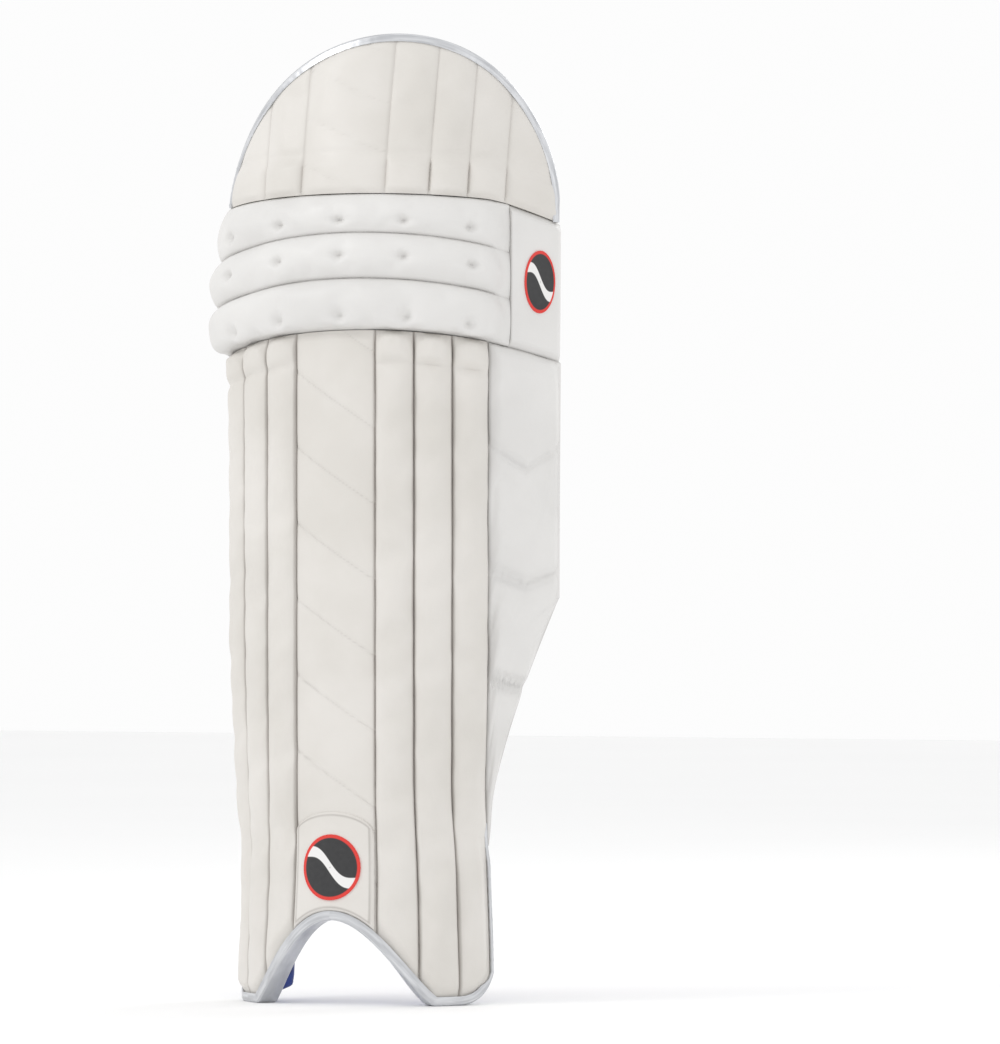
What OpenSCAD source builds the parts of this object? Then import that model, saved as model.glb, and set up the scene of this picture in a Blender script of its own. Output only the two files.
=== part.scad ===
// Cricket leg pad: a curved guard that stands in front of the shin, knee and
// lower thigh. It has six padded canes and a centre panel, a three bolster knee
// roll, a flexing top hat, a folding side wing and three hook and loop straps.
// The front faces -Y, the leg goes in from +Y and the wing is on +X.

/* [Body] */
// Height of the whole pad
pad_h = 680; // [672:1:690]
// Half of the width round the front, without the wing
half_w = 111; // [109:0.5:113]
// Width of the flat centre panel, round the front
centre_w = 60; // [56:1:64]
// Width of the side wing and of the knee side panel, round the front
wing_w = 58; // [54:1:60]
// Height of the arch between the two instep lobes
arch_h = 60; // [50:1:66]

/* [Curvature] */
// Radius of the front round the ankle
foot_r = 98; // [96:1:102]
// Radius of the front round the calf
shin_r = 125; // [122:1:128]
// Radius of the front round the thigh
thigh_r = 134; // [131:1:138]
// How far the instep kicks forward
kick = 10; // [4:1:14]
// How far the top of the top hat leans back
lean = 24; // [16:1:28]

/* [Padding] */
// How far the canes crown out of their seams
cane_crown = 8; // [4:0.5:10]
// How far the knee bolsters crown out of their seams
roll_crown = 17; // [12:0.5:20]
// Depth of the two side bolsters that hold the leg
bolster_depth = 30; // [24:1:32]
// Depth of the knee cushions
cushion_depth = 20; // [14:1:24]

/* [Straps] */
// Width of the knee strap
knee_strap_w = 28; // [24:1:32]
// Width of the calf strap
calf_strap_w = 57; // [50:1:60]
// Width of the ankle strap
ankle_strap_w = 54; // [48:1:56]
// Thickness of the strap webbing
web_t = 2.4; // [2:0.1:3]

/* [Hidden] */

// The origin is under the middle of the whole pad's box
origin_shift = [-17.05, -40.67, 0];

// Colours
pvc_white = [0.9, 0.88, 0.87];
silver = [0.78, 0.79, 0.8];
royal_blue = [0.12, 0.24, 0.58];
mesh_blue = [0.62, 0.64, 0.8];
lilac = [0.87, 0.84, 0.9];
pink = [0.98, 0.78, 0.78];
cream = [0.94, 0.92, 0.87];
foam_grey = [0.6, 0.6, 0.58];
cane_tan = [0.8, 0.68, 0.45];

// Clear space between pieces that are sewn side by side
gap = 0.3;

// Layers, counted outwards from the seams of the front
cane_back = -7;
slat_back = -11.5;
board_back = -16;
lining_front = -16.8;
lining_back = -19;
instep_back = -23;
rim_front = -8.2;
rim_back = -11.2;
hat_board_back = -10.5;
hat_back = -13.5;
wing_front = 4;
wing_back = -8;

// Heights
kick_h = 120;
knee_top_z = 560;
bolster_bottom_z = 128;
bolster_top_z = 444;
cushion_top_z = 549;
instep_top_z = 126;
badge_top_z = 136;
wing_full_z = 285;
wing_tip_z = 111;

// The knee roll's seams are arches: their height at the side and their rise
roll_side_z = [456, 488, 521, knee_top_z];
roll_rise = [17, 21, 20, 8];
arch_mid = 20;
arch_half = 131;

// Widths
cane_w = (half_w - centre_w / 2) / 3;
lobe_mid = 66;
lobe_corner = [-95, 83];
binding_h = 3;
rim_w = 18;
flare = 0.13;
flare_h = 160;
channel_half = 28;
bolster_edge = 91;
cushion_edge = 36;
hat_mid = 36;
hat_end = 166;
hat_seams = [-half_w, -61, -27, 36, 67, 95, 124, hat_end];
roll_end = half_w + 16;
wing_gap = 3.5;
wing_edge = half_w + wing_w;

// Middle height of each strap
knee_strap_z = 470;
calf_strap_z = 351;
ankle_strap_z = 158;

// Strap ends, from the middle of the pad, and how far each strap bows back
strap_root_s = 104;
strap_root_n = -23.5;
strap_bow = 17;
strap_tip_x = -96;
strap_edge_x = -82;
ring_t = 3.5;
ring_s = 102;
ring_n = -29;
ring_bar = 6;
ring_reach = [-22, 6];
strap_steps = 24;

function clamp01(t) = max(0, min(1, t));
function smooth(t) = let (c = clamp01(t)) c * c * (3 - 2 * c);
function mix(a, b, t) = a + (b - a) * t;
function puff(t) = pow(max(0, sin(180 * t)), 0.6);

// Radius of the front at a height, and how far forward or back it stands there
function radius_at(z) = foot_r + (shin_r - foot_r) * smooth((z - 60) / 220)
    + (thigh_r - shin_r) * smooth((z - 280) / 400);
function front_y(z) = -kick * smooth((kick_h - z) / kick_h)
    + lean * pow(clamp01((z - knee_top_z) / (pad_h - knee_top_z)), 1.2);
function flare_at(s, z) = s > 0 ? 1 + flare * smooth((flare_h - z) / flare_h) : 1;

// A place on the pad: s round the front, z up and n out of the front
function place(s, z, n) = let (
    k = flare_at(s, z),
    r = radius_at(z),
    bent = max(-half_w, min(half_w, s)) * k,
    a = bent / r * 180 / PI,
    rest = s * k - bent
) [
    (r + n) * sin(a) + rest * cos(a) + origin_shift[0],
    front_y(z) + r - (r + n) * cos(a) + rest * sin(a) + origin_shift[1],
    z
];

// Heights of the seams and of the outline, round the front
function arch(s) = 1 - pow((s - arch_mid) / arch_half, 2);
function roll_seam(k, s) = roll_side_z[k] + roll_rise[k] * arch(s)
    - (k == 3 ? 0.1 * max(0, s - half_w) : 0);
function hat_x(s) = (s - hat_mid) / (s < hat_mid ? hat_mid + half_w + 1 : hat_end - hat_mid + 1);
function hat_top(s) = knee_top_z + (pad_h - knee_top_z)
    * pow(max(0, 1 - pow(hat_x(s), 2)), s < hat_mid ? 0.75 : 0.6);
function hat_bottom(s) = roll_seam(3, s) + 0.6 + 0.18 * max(0, s - 125);
function lobe_arch(s) = abs(s) < lobe_mid
    ? arch_h * pow(cos(90 * abs(s) / lobe_mid), 1.3) : 0;
function lobe_round(s) = let (
    start = s < 0 ? lobe_corner[0] : lobe_corner[1],
    r = half_w + 3 - abs(start),
    d = max(0, abs(s) - abs(start))
) r - sqrt(r * r - d * d);
function foot_z(s) = lobe_arch(s) + lobe_round(s);
function shin_bottom(s) = foot_z(s) + binding_h + 1;
function board_bottom(s) = shin_bottom(s) + rim_w + 6 + 45 * smooth((abs(s) - 84) / 24);

// The instep thins towards its bound rim: 1 at the rim, 0 where it is full
function rim(s, z) = 1 - smooth(
    min(z - foot_z(s), half_w - abs(s) + 0.5 * max(0, z - 30)) / rim_w);
function shin_top(s) = roll_seam(0, s) - gap;
function wing_bottom(s) = wing_tip_z
    + (wing_full_z - wing_tip_z) * pow(clamp01((s - half_w - wing_gap) / (wing_w - wing_gap)), 0.65);
function wing_top(s) = roll_seam(0, s) - 3;

// A closed padded panel between two seams of the front. bottom and top give its
// height limits for a place round the front, and back and front give its two
// faces for a place across it and up it, from 0 to 1.
module panel(s0, s1, bottom, top, back, front, ns = 6, nz = 10) {
    rows = nz + 1;
    side = (ns + 1) * rows;
    points = [for (f = [0, 1], i = [0:ns], j = [0:nz])
        let (
            u = i / ns,
            v = j / nz,
            s = mix(s0, s1, u),
            z = mix(bottom(s), top(s), v)
        ) place(s, z, f == 0 ? front(u, v) : back(u, v))];
    function at(f, i, j) = f * side + i * rows + j;
    function two(a, b, c, d) = [[a, b, c], [a, c, d]];
    quads = concat(
        [for (i = [0:ns - 1], j = [0:nz - 1])
            two(at(0, i, j), at(0, i, j + 1), at(0, i + 1, j + 1), at(0, i + 1, j))],
        [for (i = [0:ns - 1], j = [0:nz - 1])
            two(at(1, i, j), at(1, i + 1, j), at(1, i + 1, j + 1), at(1, i, j + 1))],
        [for (i = [0:ns - 1])
            two(at(0, i, 0), at(0, i + 1, 0), at(1, i + 1, 0), at(1, i, 0))],
        [for (i = [0:ns - 1])
            two(at(0, i + 1, nz), at(0, i, nz), at(1, i, nz), at(1, i + 1, nz))],
        [for (j = [0:nz - 1])
            two(at(0, 0, j + 1), at(0, 0, j), at(1, 0, j), at(1, 0, j + 1))],
        [for (j = [0:nz - 1])
            two(at(0, ns, j), at(0, ns, j + 1), at(1, ns, j + 1), at(1, ns, j))]
    );
    polyhedron(points, [for (q = quads, t = q) t]);
}

// A panel with two flat faces
module sheet(s0, s1, bottom, top, back, front, ns = 6, nz = 10) {
    panel(s0, s1, bottom, top, function(u, v) back, function(u, v) front, ns, nz);
}

// One padded cane, between two of the front's seams
module cane(s0, s1, crown = cane_crown) {
    color(pvc_white)
        panel(s0 + gap / 2, s1 - gap / 2, function(s) shin_bottom(s), function(s) shin_top(s),
            function(u, v) cane_back, function(u, v) crown * puff(u) * puff(0.02 + 0.96 * v));
}

module cane_left(k) {
    cane(-centre_w / 2 - k * cane_w, -centre_w / 2 - (k - 1) * cane_w);
}

module cane_right(k) {
    cane(centre_w / 2 + (k - 1) * cane_w, centre_w / 2 + k * cane_w);
}

module centre_panel() {
    cane(-centre_w / 2, centre_w / 2, 3);
}

// The smooth patch at the foot of the centre panel
module badge_patch() {
    color(pvc_white)
        panel(-centre_w / 2 + 2, centre_w / 2 - 2, function(s) foot_z(s) + 12,
            function(s) badge_top_z - 14 * pow(s / centre_w * 2, 2),
            function(u, v) 3.4, function(u, v) 4.4 + puff(u), 6, 4);
}

// Stiff strips of cane behind the padding
module cane_slats() {
    color(cane_tan)
        for (side = [-1, 1], k = [0:2]) {
            mid = side * (centre_w / 2 + (k + 0.5) * cane_w);
            sheet(mid - 7, mid + 7, function(s) 75, function(s) 430, slat_back + 0.7,
                cane_back - 1, 2, 12);
        }
}

// Dense foam board that carries the whole shin
module shin_board() {
    color(foam_grey)
        sheet(-half_w + 1, half_w - 1, function(s) board_bottom(s),
            function(s) shin_top(s) - 1, board_back, slat_back, 24, 12);
}

// Padded inner bolster, from one seam of the lining to the next
module side_bolster(side) {
    color(mesh_blue)
        panel(side * (side > 0 ? channel_half : bolster_edge) + gap,
            side * (side > 0 ? bolster_edge : channel_half) - gap,
            function(s) bolster_bottom_z, function(s) bolster_top_z,
            function(u, v) board_back - 3 - bolster_depth * puff(u) * puff(0.03 + 0.94 * v),
            function(u, v) lining_front, 8, 12);
}

module channel_lining() {
    color(pink)
        sheet(-channel_half, channel_half, function(s) bolster_bottom_z,
            function(s) bolster_top_z, lining_back, lining_front, 6, 8);
}

// Smooth strip of lining between a side bolster and the edge
module margin(side) {
    color(pvc_white)
        sheet(side > 0 ? bolster_edge + gap : -half_w, side > 0 ? half_w : -bolster_edge - gap,
            function(s) bolster_bottom_z, function(s) cushion_top_z, lining_back,
            lining_front, 3, 12);
}

// Channelled lining of the instep. Each third has its own piece.
module instep_lining(s0, s1, channels) {
    function thin(u, v) = let (s = mix(s0, s1, u)) rim(s, mix(shin_bottom(s), instep_top_z, v));
    color(royal_blue)
        panel(s0, s1, function(s) shin_bottom(s), function(s) instep_top_z,
            function(u, v) mix(instep_back + 3 - 3 * abs(sin(180 * channels * u)), rim_back,
                thin(u, v)),
            function(u, v) mix(lining_front, rim_front, thin(u, v)), 12, 12);
}

// Metallic binding round the bottom edge. Both lobes stand on it.
module instep_binding(side) {
    color(silver)
        sheet(side > 0 ? gap : -half_w - 1, side > 0 ? half_w + 1 : -gap, function(s) foot_z(s),
            function(s) foot_z(s) + binding_h, rim_back, 3, 28, 1);
}

// Metallic binding up a side edge, from the lobe to a height
module edge_binding(side, top_z) {
    low = shin_bottom(side * half_w) + 2;
    color(silver)
        panel(side > 0 ? half_w + gap : -half_w - 2, side > 0 ? half_w + 2 : -half_w - gap,
            function(s) low, function(s) top_z,
            function(u, v) mix(lining_back, rim_back, rim(side * half_w, mix(low, top_z, v))),
            function(u, v) 1, 1, 10);
}

// Knee roll
module knee_board() {
    color(foam_grey)
        sheet(-half_w + 1, half_w - 1, function(s) roll_seam(0, s) + 1,
            function(s) roll_seam(3, s) - 1, board_back, cane_back - gap, 16, 4);
}

module knee_roll(k) {
    color(pvc_white)
        panel(-half_w, roll_end, function(s) roll_seam(k, s) + gap / 2,
            function(s) roll_seam(k + 1, s) - gap / 2, function(u, v) cane_back,
            function(u, v) roll_crown * puff(v) * pow(puff(0.04 + 0.92 * u), 0.6), 20, 6);
}

module knee_side_panel() {
    color(pvc_white)
        panel(roll_end + gap, wing_edge, function(s) roll_seam(0, s),
            function(s) roll_seam(3, s) - 0.1 * max(0, s - 125),
            function(u, v) -14, function(u, v) mix(4, 2, u) + 3 * puff(u), 6, 6);
}

module knee_cushion(s0, s1) {
    color(lilac)
        panel(s0 + gap, s1 - gap, function(s) bolster_top_z + 1, function(s) cushion_top_z,
            function(u, v) board_back - 2 - cushion_depth * puff(u) * puff(v),
            function(u, v) lining_front, 8, 6);
}

// Top hat: padded channels in front, a board and a smooth lining behind
module hat_channel(k) {
    color(pvc_white)
        panel(hat_seams[k] + gap / 2, hat_seams[k + 1] - gap / 2,
            function(s) hat_bottom(s), function(s) max(hat_bottom(s) + 5.5, hat_top(s) - 2.5),
            function(u, v) cane_back, function(u, v) 6 * puff(u) * puff(0.05 + 0.8 * v), 6, 6);
}

module hat_board() {
    color(foam_grey)
        sheet(hat_seams[0] + 2, hat_end - 2, function(s) hat_bottom(s) + 1,
            function(s) max(hat_bottom(s) + 5, hat_top(s) - 3), hat_board_back,
            cane_back - gap, 24, 4);
}

module hat_lining() {
    color(pvc_white)
        sheet(hat_seams[0], hat_end, function(s) hat_bottom(s),
            function(s) max(hat_bottom(s) + 6, hat_top(s) - 2), hat_back,
            hat_board_back - gap, 24, 4);
}

module hat_piping() {
    color(silver)
        sheet(hat_seams[0] - 1, hat_end + 1, function(s) max(hat_bottom(s) + 6.3, hat_top(s) - 1.7),
            function(s) max(hat_bottom(s) + 9, hat_top(s) + 1.5), hat_back, 0, 40, 1);
}

// Side wing, which folds on its seam with the last cane
module wing_layer(inset, back, front, crown) {
    panel(half_w + wing_gap, wing_edge - inset, function(s) wing_bottom(s) + inset,
        function(s) wing_top(s) - inset, function(u, v) back,
        function(u, v) front + crown * puff(u) * puff(v), 8, 12);
}

module wing_panel() {
    color(pvc_white) wing_layer(2.3, -2, 0, wing_front);
}

module wing_board() {
    color(foam_grey) wing_layer(6, -5, -2.3, 0);
}

module wing_lining() {
    color(pvc_white) wing_layer(2.3, wing_back, -5.3, 0);
}

module wing_binding() {
    color(pvc_white)
        sheet(wing_edge - 2, wing_edge, function(s) wing_full_z, function(s) wing_top(s),
            wing_back, 1, 1, 8);
}

// Straps, seen from above: each is one bowed strip that turns at its root
function root_at(z) = place(strap_root_s, z, strap_root_n);
function edge_y(z) = place(-half_w - 2, z, lining_back - 3)[1] + web_t;
ring_near = place(ring_s, ankle_strap_z, ring_n);
ring_far = [ring_near[0] + ring_reach[0], ring_near[1] + ring_reach[1]];
function strap_x(root, t) = mix(root[0], strap_tip_x + origin_shift[0], t);
function strap_y(root, z, t) = let (
    edge_t = (root[0] - strap_edge_x - origin_shift[0])
        / (root[0] - strap_tip_x - origin_shift[0])
) mix(root[1], edge_y(z), clamp01(t / edge_t)) + strap_bow * (1 - pow(2 * t / edge_t - 1, 2));
function strap_point(root, z, t, out) = [strap_x(root, t), strap_y(root, z, t) + out];

// A strip along the strap, from one of its steps to another
module strap_strip(root, z, w, first, last, inner, outer) {
    translate([0, 0, z - w / 2])
        linear_extrude(w)
            polygon(concat(
                [for (i = [first:last]) strap_point(root, z, i / strap_steps, inner)],
                [for (i = [last:-1:first]) strap_point(root, z, i / strap_steps, outer)]
            ));
}

// The webbing turns on its root, so a strap that is sewn down has a round end there
module strap(z, w, root, first = 0) {
    color(lilac) {
        strap_strip(root, z, w, first, strap_steps, -web_t / 2, web_t / 2);
        if (first == 0)
            translate([root[0], root[1], z - w / 2]) cylinder(h = w, d = web_t, $fn = 32);
    }
}

// Hook tab sewn on the outside of a strap, from one of its steps to its free end
module hook_tab(z, w, root, first) {
    color(cream)
        strap_strip(root, z, w - 4, first, strap_steps, web_t / 2 + 0.05, web_t / 2 + 1.6);
}

// Flat patches of the lining where a strap starts and where it holds
module strap_root(z, w) {
    color(lilac)
        sheet(strap_root_s - 10, strap_root_s - 2.2, function(s) z - w / 2,
            function(s) z + w / 2, lining_back - 1.8, lining_back - gap, 2, 2);
}

module loop_patch(z, w) {
    color(cream)
        sheet(-half_w + 2, -half_w + 16, function(s) z - w / 2, function(s) z + w / 2,
            lining_back - 1.5, lining_back - gap, 2, 2);
}

// Ankle ring: a flat frame round one slot. It turns on its near bar, where the
// root tab holds it, and the ankle strap turns on its far bar.
module ankle_ring() {
    color("white")
        translate([ring_near[0], ring_near[1], ankle_strap_z])
            rotate([0, 0, atan2(ring_reach[1], ring_reach[0])])
                rotate([90, 0, 0])
                    translate([0, 0, -ring_t / 2])
                        linear_extrude(ring_t)
                            difference() {
                                ring_outline(ring_bar / 2, ankle_strap_w + 2 * ring_bar);
                                ring_outline(-ring_bar / 2, ankle_strap_w + 1);
                            }
}

// Rounded rectangle round the ring's two bars, grown by an amount
module ring_outline(grow, h) {
    round_r = 2.5;
    x0 = -grow + round_r;
    x1 = norm(ring_reach) + grow - round_r;
    hull()
        for (x = [x0, x1], y = [round_r - h / 2, h / 2 - round_r])
            translate([x, y]) circle(r = round_r, $fn = 32);
}

shin_board();
cane_left(1);  // cane_left_1
cane_left(2);  // cane_left_2
cane_left(3);  // cane_left_3
cane_right(1);  // cane_right_1
cane_right(2);  // cane_right_2
cane_right(3);  // cane_right_3
centre_panel();
badge_patch();
cane_slats();
side_bolster(-1);  // side_bolster_left
side_bolster(1);  // side_bolster_right
channel_lining();
margin(-1);  // margin_left
margin(1);  // margin_right
instep_lining(-half_w, -channel_half - gap, 3);  // instep_lining_left
instep_lining(-channel_half, channel_half, 1);  // instep_lining_centre
instep_lining(channel_half + gap, half_w, 3);  // instep_lining_right
instep_binding(-1);  // instep_binding_left
instep_binding(1);  // instep_binding_right
edge_binding(-1, instep_top_z);  // edge_binding_left
edge_binding(1, wing_tip_z - 4);  // edge_binding_right
knee_board();
knee_roll(0);  // knee_roll_lower
knee_roll(1);  // knee_roll_middle
knee_roll(2);  // knee_roll_upper
knee_side_panel();
knee_cushion(-bolster_edge, -cushion_edge);  // knee_cushion_left
knee_cushion(-cushion_edge, cushion_edge);  // knee_cushion_centre
knee_cushion(cushion_edge, bolster_edge);  // knee_cushion_right
strap_root(knee_strap_z, knee_strap_w);  // knee_strap_root
strap_root(calf_strap_z, calf_strap_w);  // calf_strap_root
strap_root(ankle_strap_z, ankle_strap_w - 8);  // ankle_root_tab
loop_patch(knee_strap_z, knee_strap_w);  // knee_loop_patch
loop_patch(calf_strap_z, calf_strap_w);  // calf_loop_patch
loop_patch(ankle_strap_z, ankle_strap_w);  // ankle_loop_patch
hat_channel(0);  // hat_channel_1
hat_channel(1);  // hat_channel_2
hat_channel(2);  // hat_channel_3
hat_channel(3);  // hat_channel_4
hat_channel(4);  // hat_channel_5
hat_channel(5);  // hat_channel_6
hat_channel(6);  // hat_channel_7
hat_board();
hat_lining();
hat_piping();
wing_panel();
wing_board();
wing_lining();
wing_binding();
strap(knee_strap_z, knee_strap_w, root_at(knee_strap_z));  // knee_strap
hook_tab(knee_strap_z, knee_strap_w, root_at(knee_strap_z), 20);  // knee_hook_tab
strap(calf_strap_z, calf_strap_w, root_at(calf_strap_z));  // calf_strap
hook_tab(calf_strap_z, calf_strap_w, root_at(calf_strap_z), 10);  // calf_hook_tab
ankle_ring();
strap(ankle_strap_z, ankle_strap_w, ring_far, 1);  // ankle_strap
hook_tab(ankle_strap_z, ankle_strap_w, ring_far, 17);  // ankle_hook_tab
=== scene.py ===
# Cricket leg pad: soft covers, linings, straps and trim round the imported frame.
# All lengths are in metres. s runs round the front of the pad, z up it and n out of it.
import math

import bmesh
import bpy
import numpy as np
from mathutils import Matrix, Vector


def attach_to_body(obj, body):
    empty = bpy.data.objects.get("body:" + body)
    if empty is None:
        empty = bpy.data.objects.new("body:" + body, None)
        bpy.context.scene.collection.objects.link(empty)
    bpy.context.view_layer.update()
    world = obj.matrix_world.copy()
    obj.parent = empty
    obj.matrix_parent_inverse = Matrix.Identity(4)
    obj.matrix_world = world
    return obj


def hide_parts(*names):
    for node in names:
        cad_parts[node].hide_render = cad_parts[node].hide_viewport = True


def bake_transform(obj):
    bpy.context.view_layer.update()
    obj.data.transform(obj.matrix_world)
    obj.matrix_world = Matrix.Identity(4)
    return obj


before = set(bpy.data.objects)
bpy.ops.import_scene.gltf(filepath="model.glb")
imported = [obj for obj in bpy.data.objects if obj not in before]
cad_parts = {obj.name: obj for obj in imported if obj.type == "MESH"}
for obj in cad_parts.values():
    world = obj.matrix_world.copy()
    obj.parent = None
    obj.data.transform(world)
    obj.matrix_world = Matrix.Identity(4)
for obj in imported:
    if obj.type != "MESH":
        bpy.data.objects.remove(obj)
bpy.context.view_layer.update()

# ---------------------------------------------------------------- dimensions
MM = 0.001
PAD_H = 680 * MM
HALF_W = 111 * MM
CENTRE_W = 60 * MM
CANE_W = (HALF_W - CENTRE_W / 2) / 3
WING_W = 58 * MM
WING_EDGE = HALF_W + WING_W
ROLL_END = HALF_W + 16 * MM
FOOT_R, SHIN_R, THIGH_R = 98 * MM, 125 * MM, 134 * MM
KICK, KICK_H = 10 * MM, 120 * MM
LEAN = 24 * MM
KNEE_TOP_Z = 560 * MM
FLARE, FLARE_H = 0.13, 160 * MM
ORIGIN = (-17.05 * MM, -40.67 * MM)
ARCH_H = 60 * MM
LOBE_MID, LOBE_LEFT, LOBE_RIGHT = 66 * MM, 95 * MM, 83 * MM
ROLL_SIDE_Z = [456 * MM, 488 * MM, 521 * MM, KNEE_TOP_Z]
ROLL_RISE = [17 * MM, 21 * MM, 20 * MM, 8 * MM]
HAT_SEAMS = [-HALF_W, -61 * MM, -27 * MM, 36 * MM, 67 * MM, 95 * MM, 124 * MM, 166 * MM]
HAT_MID, HAT_END = 36 * MM, 166 * MM
CHANNEL_HALF = 28 * MM
BOLSTER_EDGE = 91 * MM
CUSHION_EDGE = 36 * MM
COVER_BACK = -7 * MM
LINING_FRONT = -16.8 * MM
LINING_BACK = -19 * MM
RIM_FRONT, RIM_BACK, RIM_W = -8.2 * MM, -11.2 * MM, 9 * MM
INSIDE_FOOT, INSIDE_TOP = 128 * MM, 444 * MM  # of the bolsters and the lining between them
INSTEP_TOP = 126 * MM
CUSHION_FOOT = 445 * MM
KNEE_STRAP, CALF_STRAP, ANKLE_STRAP = (470 * MM, 28 * MM), (351 * MM, 57 * MM), (158 * MM, 54 * MM)
ANKLE_WEB = 46 * MM  # width of the webbing that holds the ankle ring
SIDES = {-1: "left", 1: "right"}
EDGE_S = HALF_W + 1.4 * MM  # where the linings turn round the side edge
HAT_LINING_FRONT, HAT_LINING_BACK = -10.8 * MM, -13.5 * MM


# ------------------------------------------------------------ the pad's form
def clamp01(t):
    return np.clip(t, 0, 1)


def smooth(t):
    c = clamp01(t)
    return c * c * (3 - 2 * c)


def rise(x, start, width):
    """0 before start and 1 past it by width, both in mm."""
    return smooth((x - start * MM) / (width * MM))


def puff(t, power=0.6):
    """A padded section's height between two seams, from 0 to 1 and back."""
    return np.maximum(0, np.sin(np.pi * clamp01(t))) ** power


def bell(d, width):
    return np.exp(-((d / width) ** 2))


def dome(t):
    """Rises from 0 to 1 like a quarter of a circle."""
    return np.sqrt(clamp01(1 - (1 - clamp01(t)) ** 2))


def span(low, high, steps):
    return np.linspace(low, high, steps + 1)


def sheet(s_line, steps, low=0, high=1):
    """A grid of s and of what runs up it, from low to high."""
    return np.meshgrid(s_line, span(low, high, steps), indexing="ij")


def joined(*values):
    """Arrays of coordinates as one array of points."""
    return np.stack(np.broadcast_arrays(*values), -1)


def unit(v):
    return v / np.linalg.norm(v, axis=1, keepdims=True)


def run_along(path):
    """Distance along a path at each of its points."""
    return np.concatenate([[0], np.cumsum(np.linalg.norm(np.diff(path, axis=0), axis=1))])


def radius(z):
    return (
        FOOT_R
        + (SHIN_R - FOOT_R) * rise(z, 60, 220)
        + (THIGH_R - SHIN_R) * rise(z, 280, 400)
    )


def front_y(z):
    lean = clamp01((z - KNEE_TOP_Z) / (PAD_H - KNEE_TOP_Z)) ** 1.2
    return LEAN * lean - KICK * smooth((KICK_H - z) / KICK_H)


def place(s, z, n):
    """The point at s round the pad, z up it and n out of its front."""
    s, z, n = np.broadcast_arrays(*(np.asarray(a, float) for a in (s, z, n)))
    k = np.where(s > 0, 1 + FLARE * smooth((FLARE_H - z) / FLARE_H), 1.0)
    r = radius(z)
    bent = np.clip(s, -HALF_W, HALF_W) * k
    a = bent / r
    rest = s * k - bent
    x = (r + n) * np.sin(a) + rest * np.cos(a) + ORIGIN[0]
    y = front_y(z) + r - (r + n) * np.cos(a) + rest * np.sin(a) + ORIGIN[1]
    return np.stack([x, y, z], -1)


def arch(s):
    return 1 - ((s - 20 * MM) / (131 * MM)) ** 2


def roll_seam(k, s):
    drop = 0.1 * np.maximum(0, s - HALF_W) if k == 3 else 0
    return ROLL_SIDE_Z[k] + ROLL_RISE[k] * arch(s) - drop


def hat_top(s):
    left = s < HAT_MID
    span = np.where(left, HAT_MID + HALF_W + MM, HAT_END - HAT_MID + MM)
    power = np.where(left, 0.75, 0.6)
    return KNEE_TOP_Z + (PAD_H - KNEE_TOP_Z) * np.maximum(0, 1 - ((s - HAT_MID) / span) ** 2) ** power


def hat_bottom(s):
    return roll_seam(3, s) + 0.6 * MM - 0.1 * np.maximum(0, s - 125 * MM)


def foot_z(s):
    a = np.abs(s)
    rise = ARCH_H * np.maximum(0, np.cos(np.pi / 2 * np.minimum(1, a / LOBE_MID))) ** 1.3
    start = np.where(np.asarray(s) < 0, LOBE_LEFT, LOBE_RIGHT)
    corner = HALF_W + 3 * MM - start
    d = np.clip(a - start, 0, corner)
    return rise + corner - np.sqrt(corner**2 - d * d)


def foot_gap(s, z):
    """Distance from the edge of the foot."""
    slope = (foot_z(s + 0.1 * MM) - foot_z(s - 0.1 * MM)) / (0.2 * MM)
    return (z - foot_z(s)) / np.sqrt(1 + slope**2)


def rim_gap(s, z):
    """Distance from the part of the edge that is bound all round."""
    return np.minimum(foot_gap(s, z), HALF_W - np.abs(s) + 0.5 * np.maximum(0, z - 30 * MM))


def rim(s, z):
    """The instep thins towards its bound rim: 1 at the rim, 0 where it is full."""
    return 1 - smooth((rim_gap(s, z) - 4 * MM) / RIM_W)


def wing_bottom(s):
    t = clamp01((s - HALF_W - 3.5 * MM) / (WING_W - 3.5 * MM))
    return 111 * MM + (285 - 111) * MM * t**0.65


def wobble(s, z, size=1.0):
    """Slow hand-made unevenness, the same on every run."""
    a = np.sin(s * 61 + z * 23 + 1.3) * np.sin(z * 47 - s * 31)
    b = np.sin(s * 143 - z * 89 + 0.4) * np.sin(z * 131 + s * 77)
    return (a * 0.7 + b * 0.3) * size * MM


# -------------------------------------------------------------------- meshes
def grid_faces(nu, nv, start=0, flip=False):
    i, j = np.meshgrid(np.arange(nu), np.arange(nv), indexing="ij")
    a = start + i * (nv + 1) + j
    quads = np.stack([a, a + nv + 1, a + nv + 2, a + 1], -1).reshape(-1, 4)
    return quads[:, ::-1] if flip else quads


def make_mesh(name, points, faces, uv=None, seam=None, sharp=48):
    me = bpy.data.meshes.new(name)
    points = np.asarray(points, float).reshape(-1, 3)
    me.from_pydata(points.tolist(), [], [tuple(map(int, f)) for f in faces])
    me.validate()
    if uv is not None:
        layer = me.uv_layers.new(name="pad")
        loops = np.empty(len(me.loops), int)
        me.loops.foreach_get("vertex_index", loops)
        layer.data.foreach_set("uv", np.asarray(uv, float).reshape(-1, 2)[loops].ravel())
    if seam is not None:
        layer = me.attributes.new("seam", "FLOAT", "POINT")
        layer.data.foreach_set("value", np.asarray(seam, np.float32).ravel())
    me.polygons.foreach_set("use_smooth", np.ones(len(me.polygons), bool))
    me.set_sharp_from_angle(angle=math.radians(sharp))
    obj = bpy.data.objects.new(name, me)
    bpy.context.scene.collection.objects.link(obj)
    return obj


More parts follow.
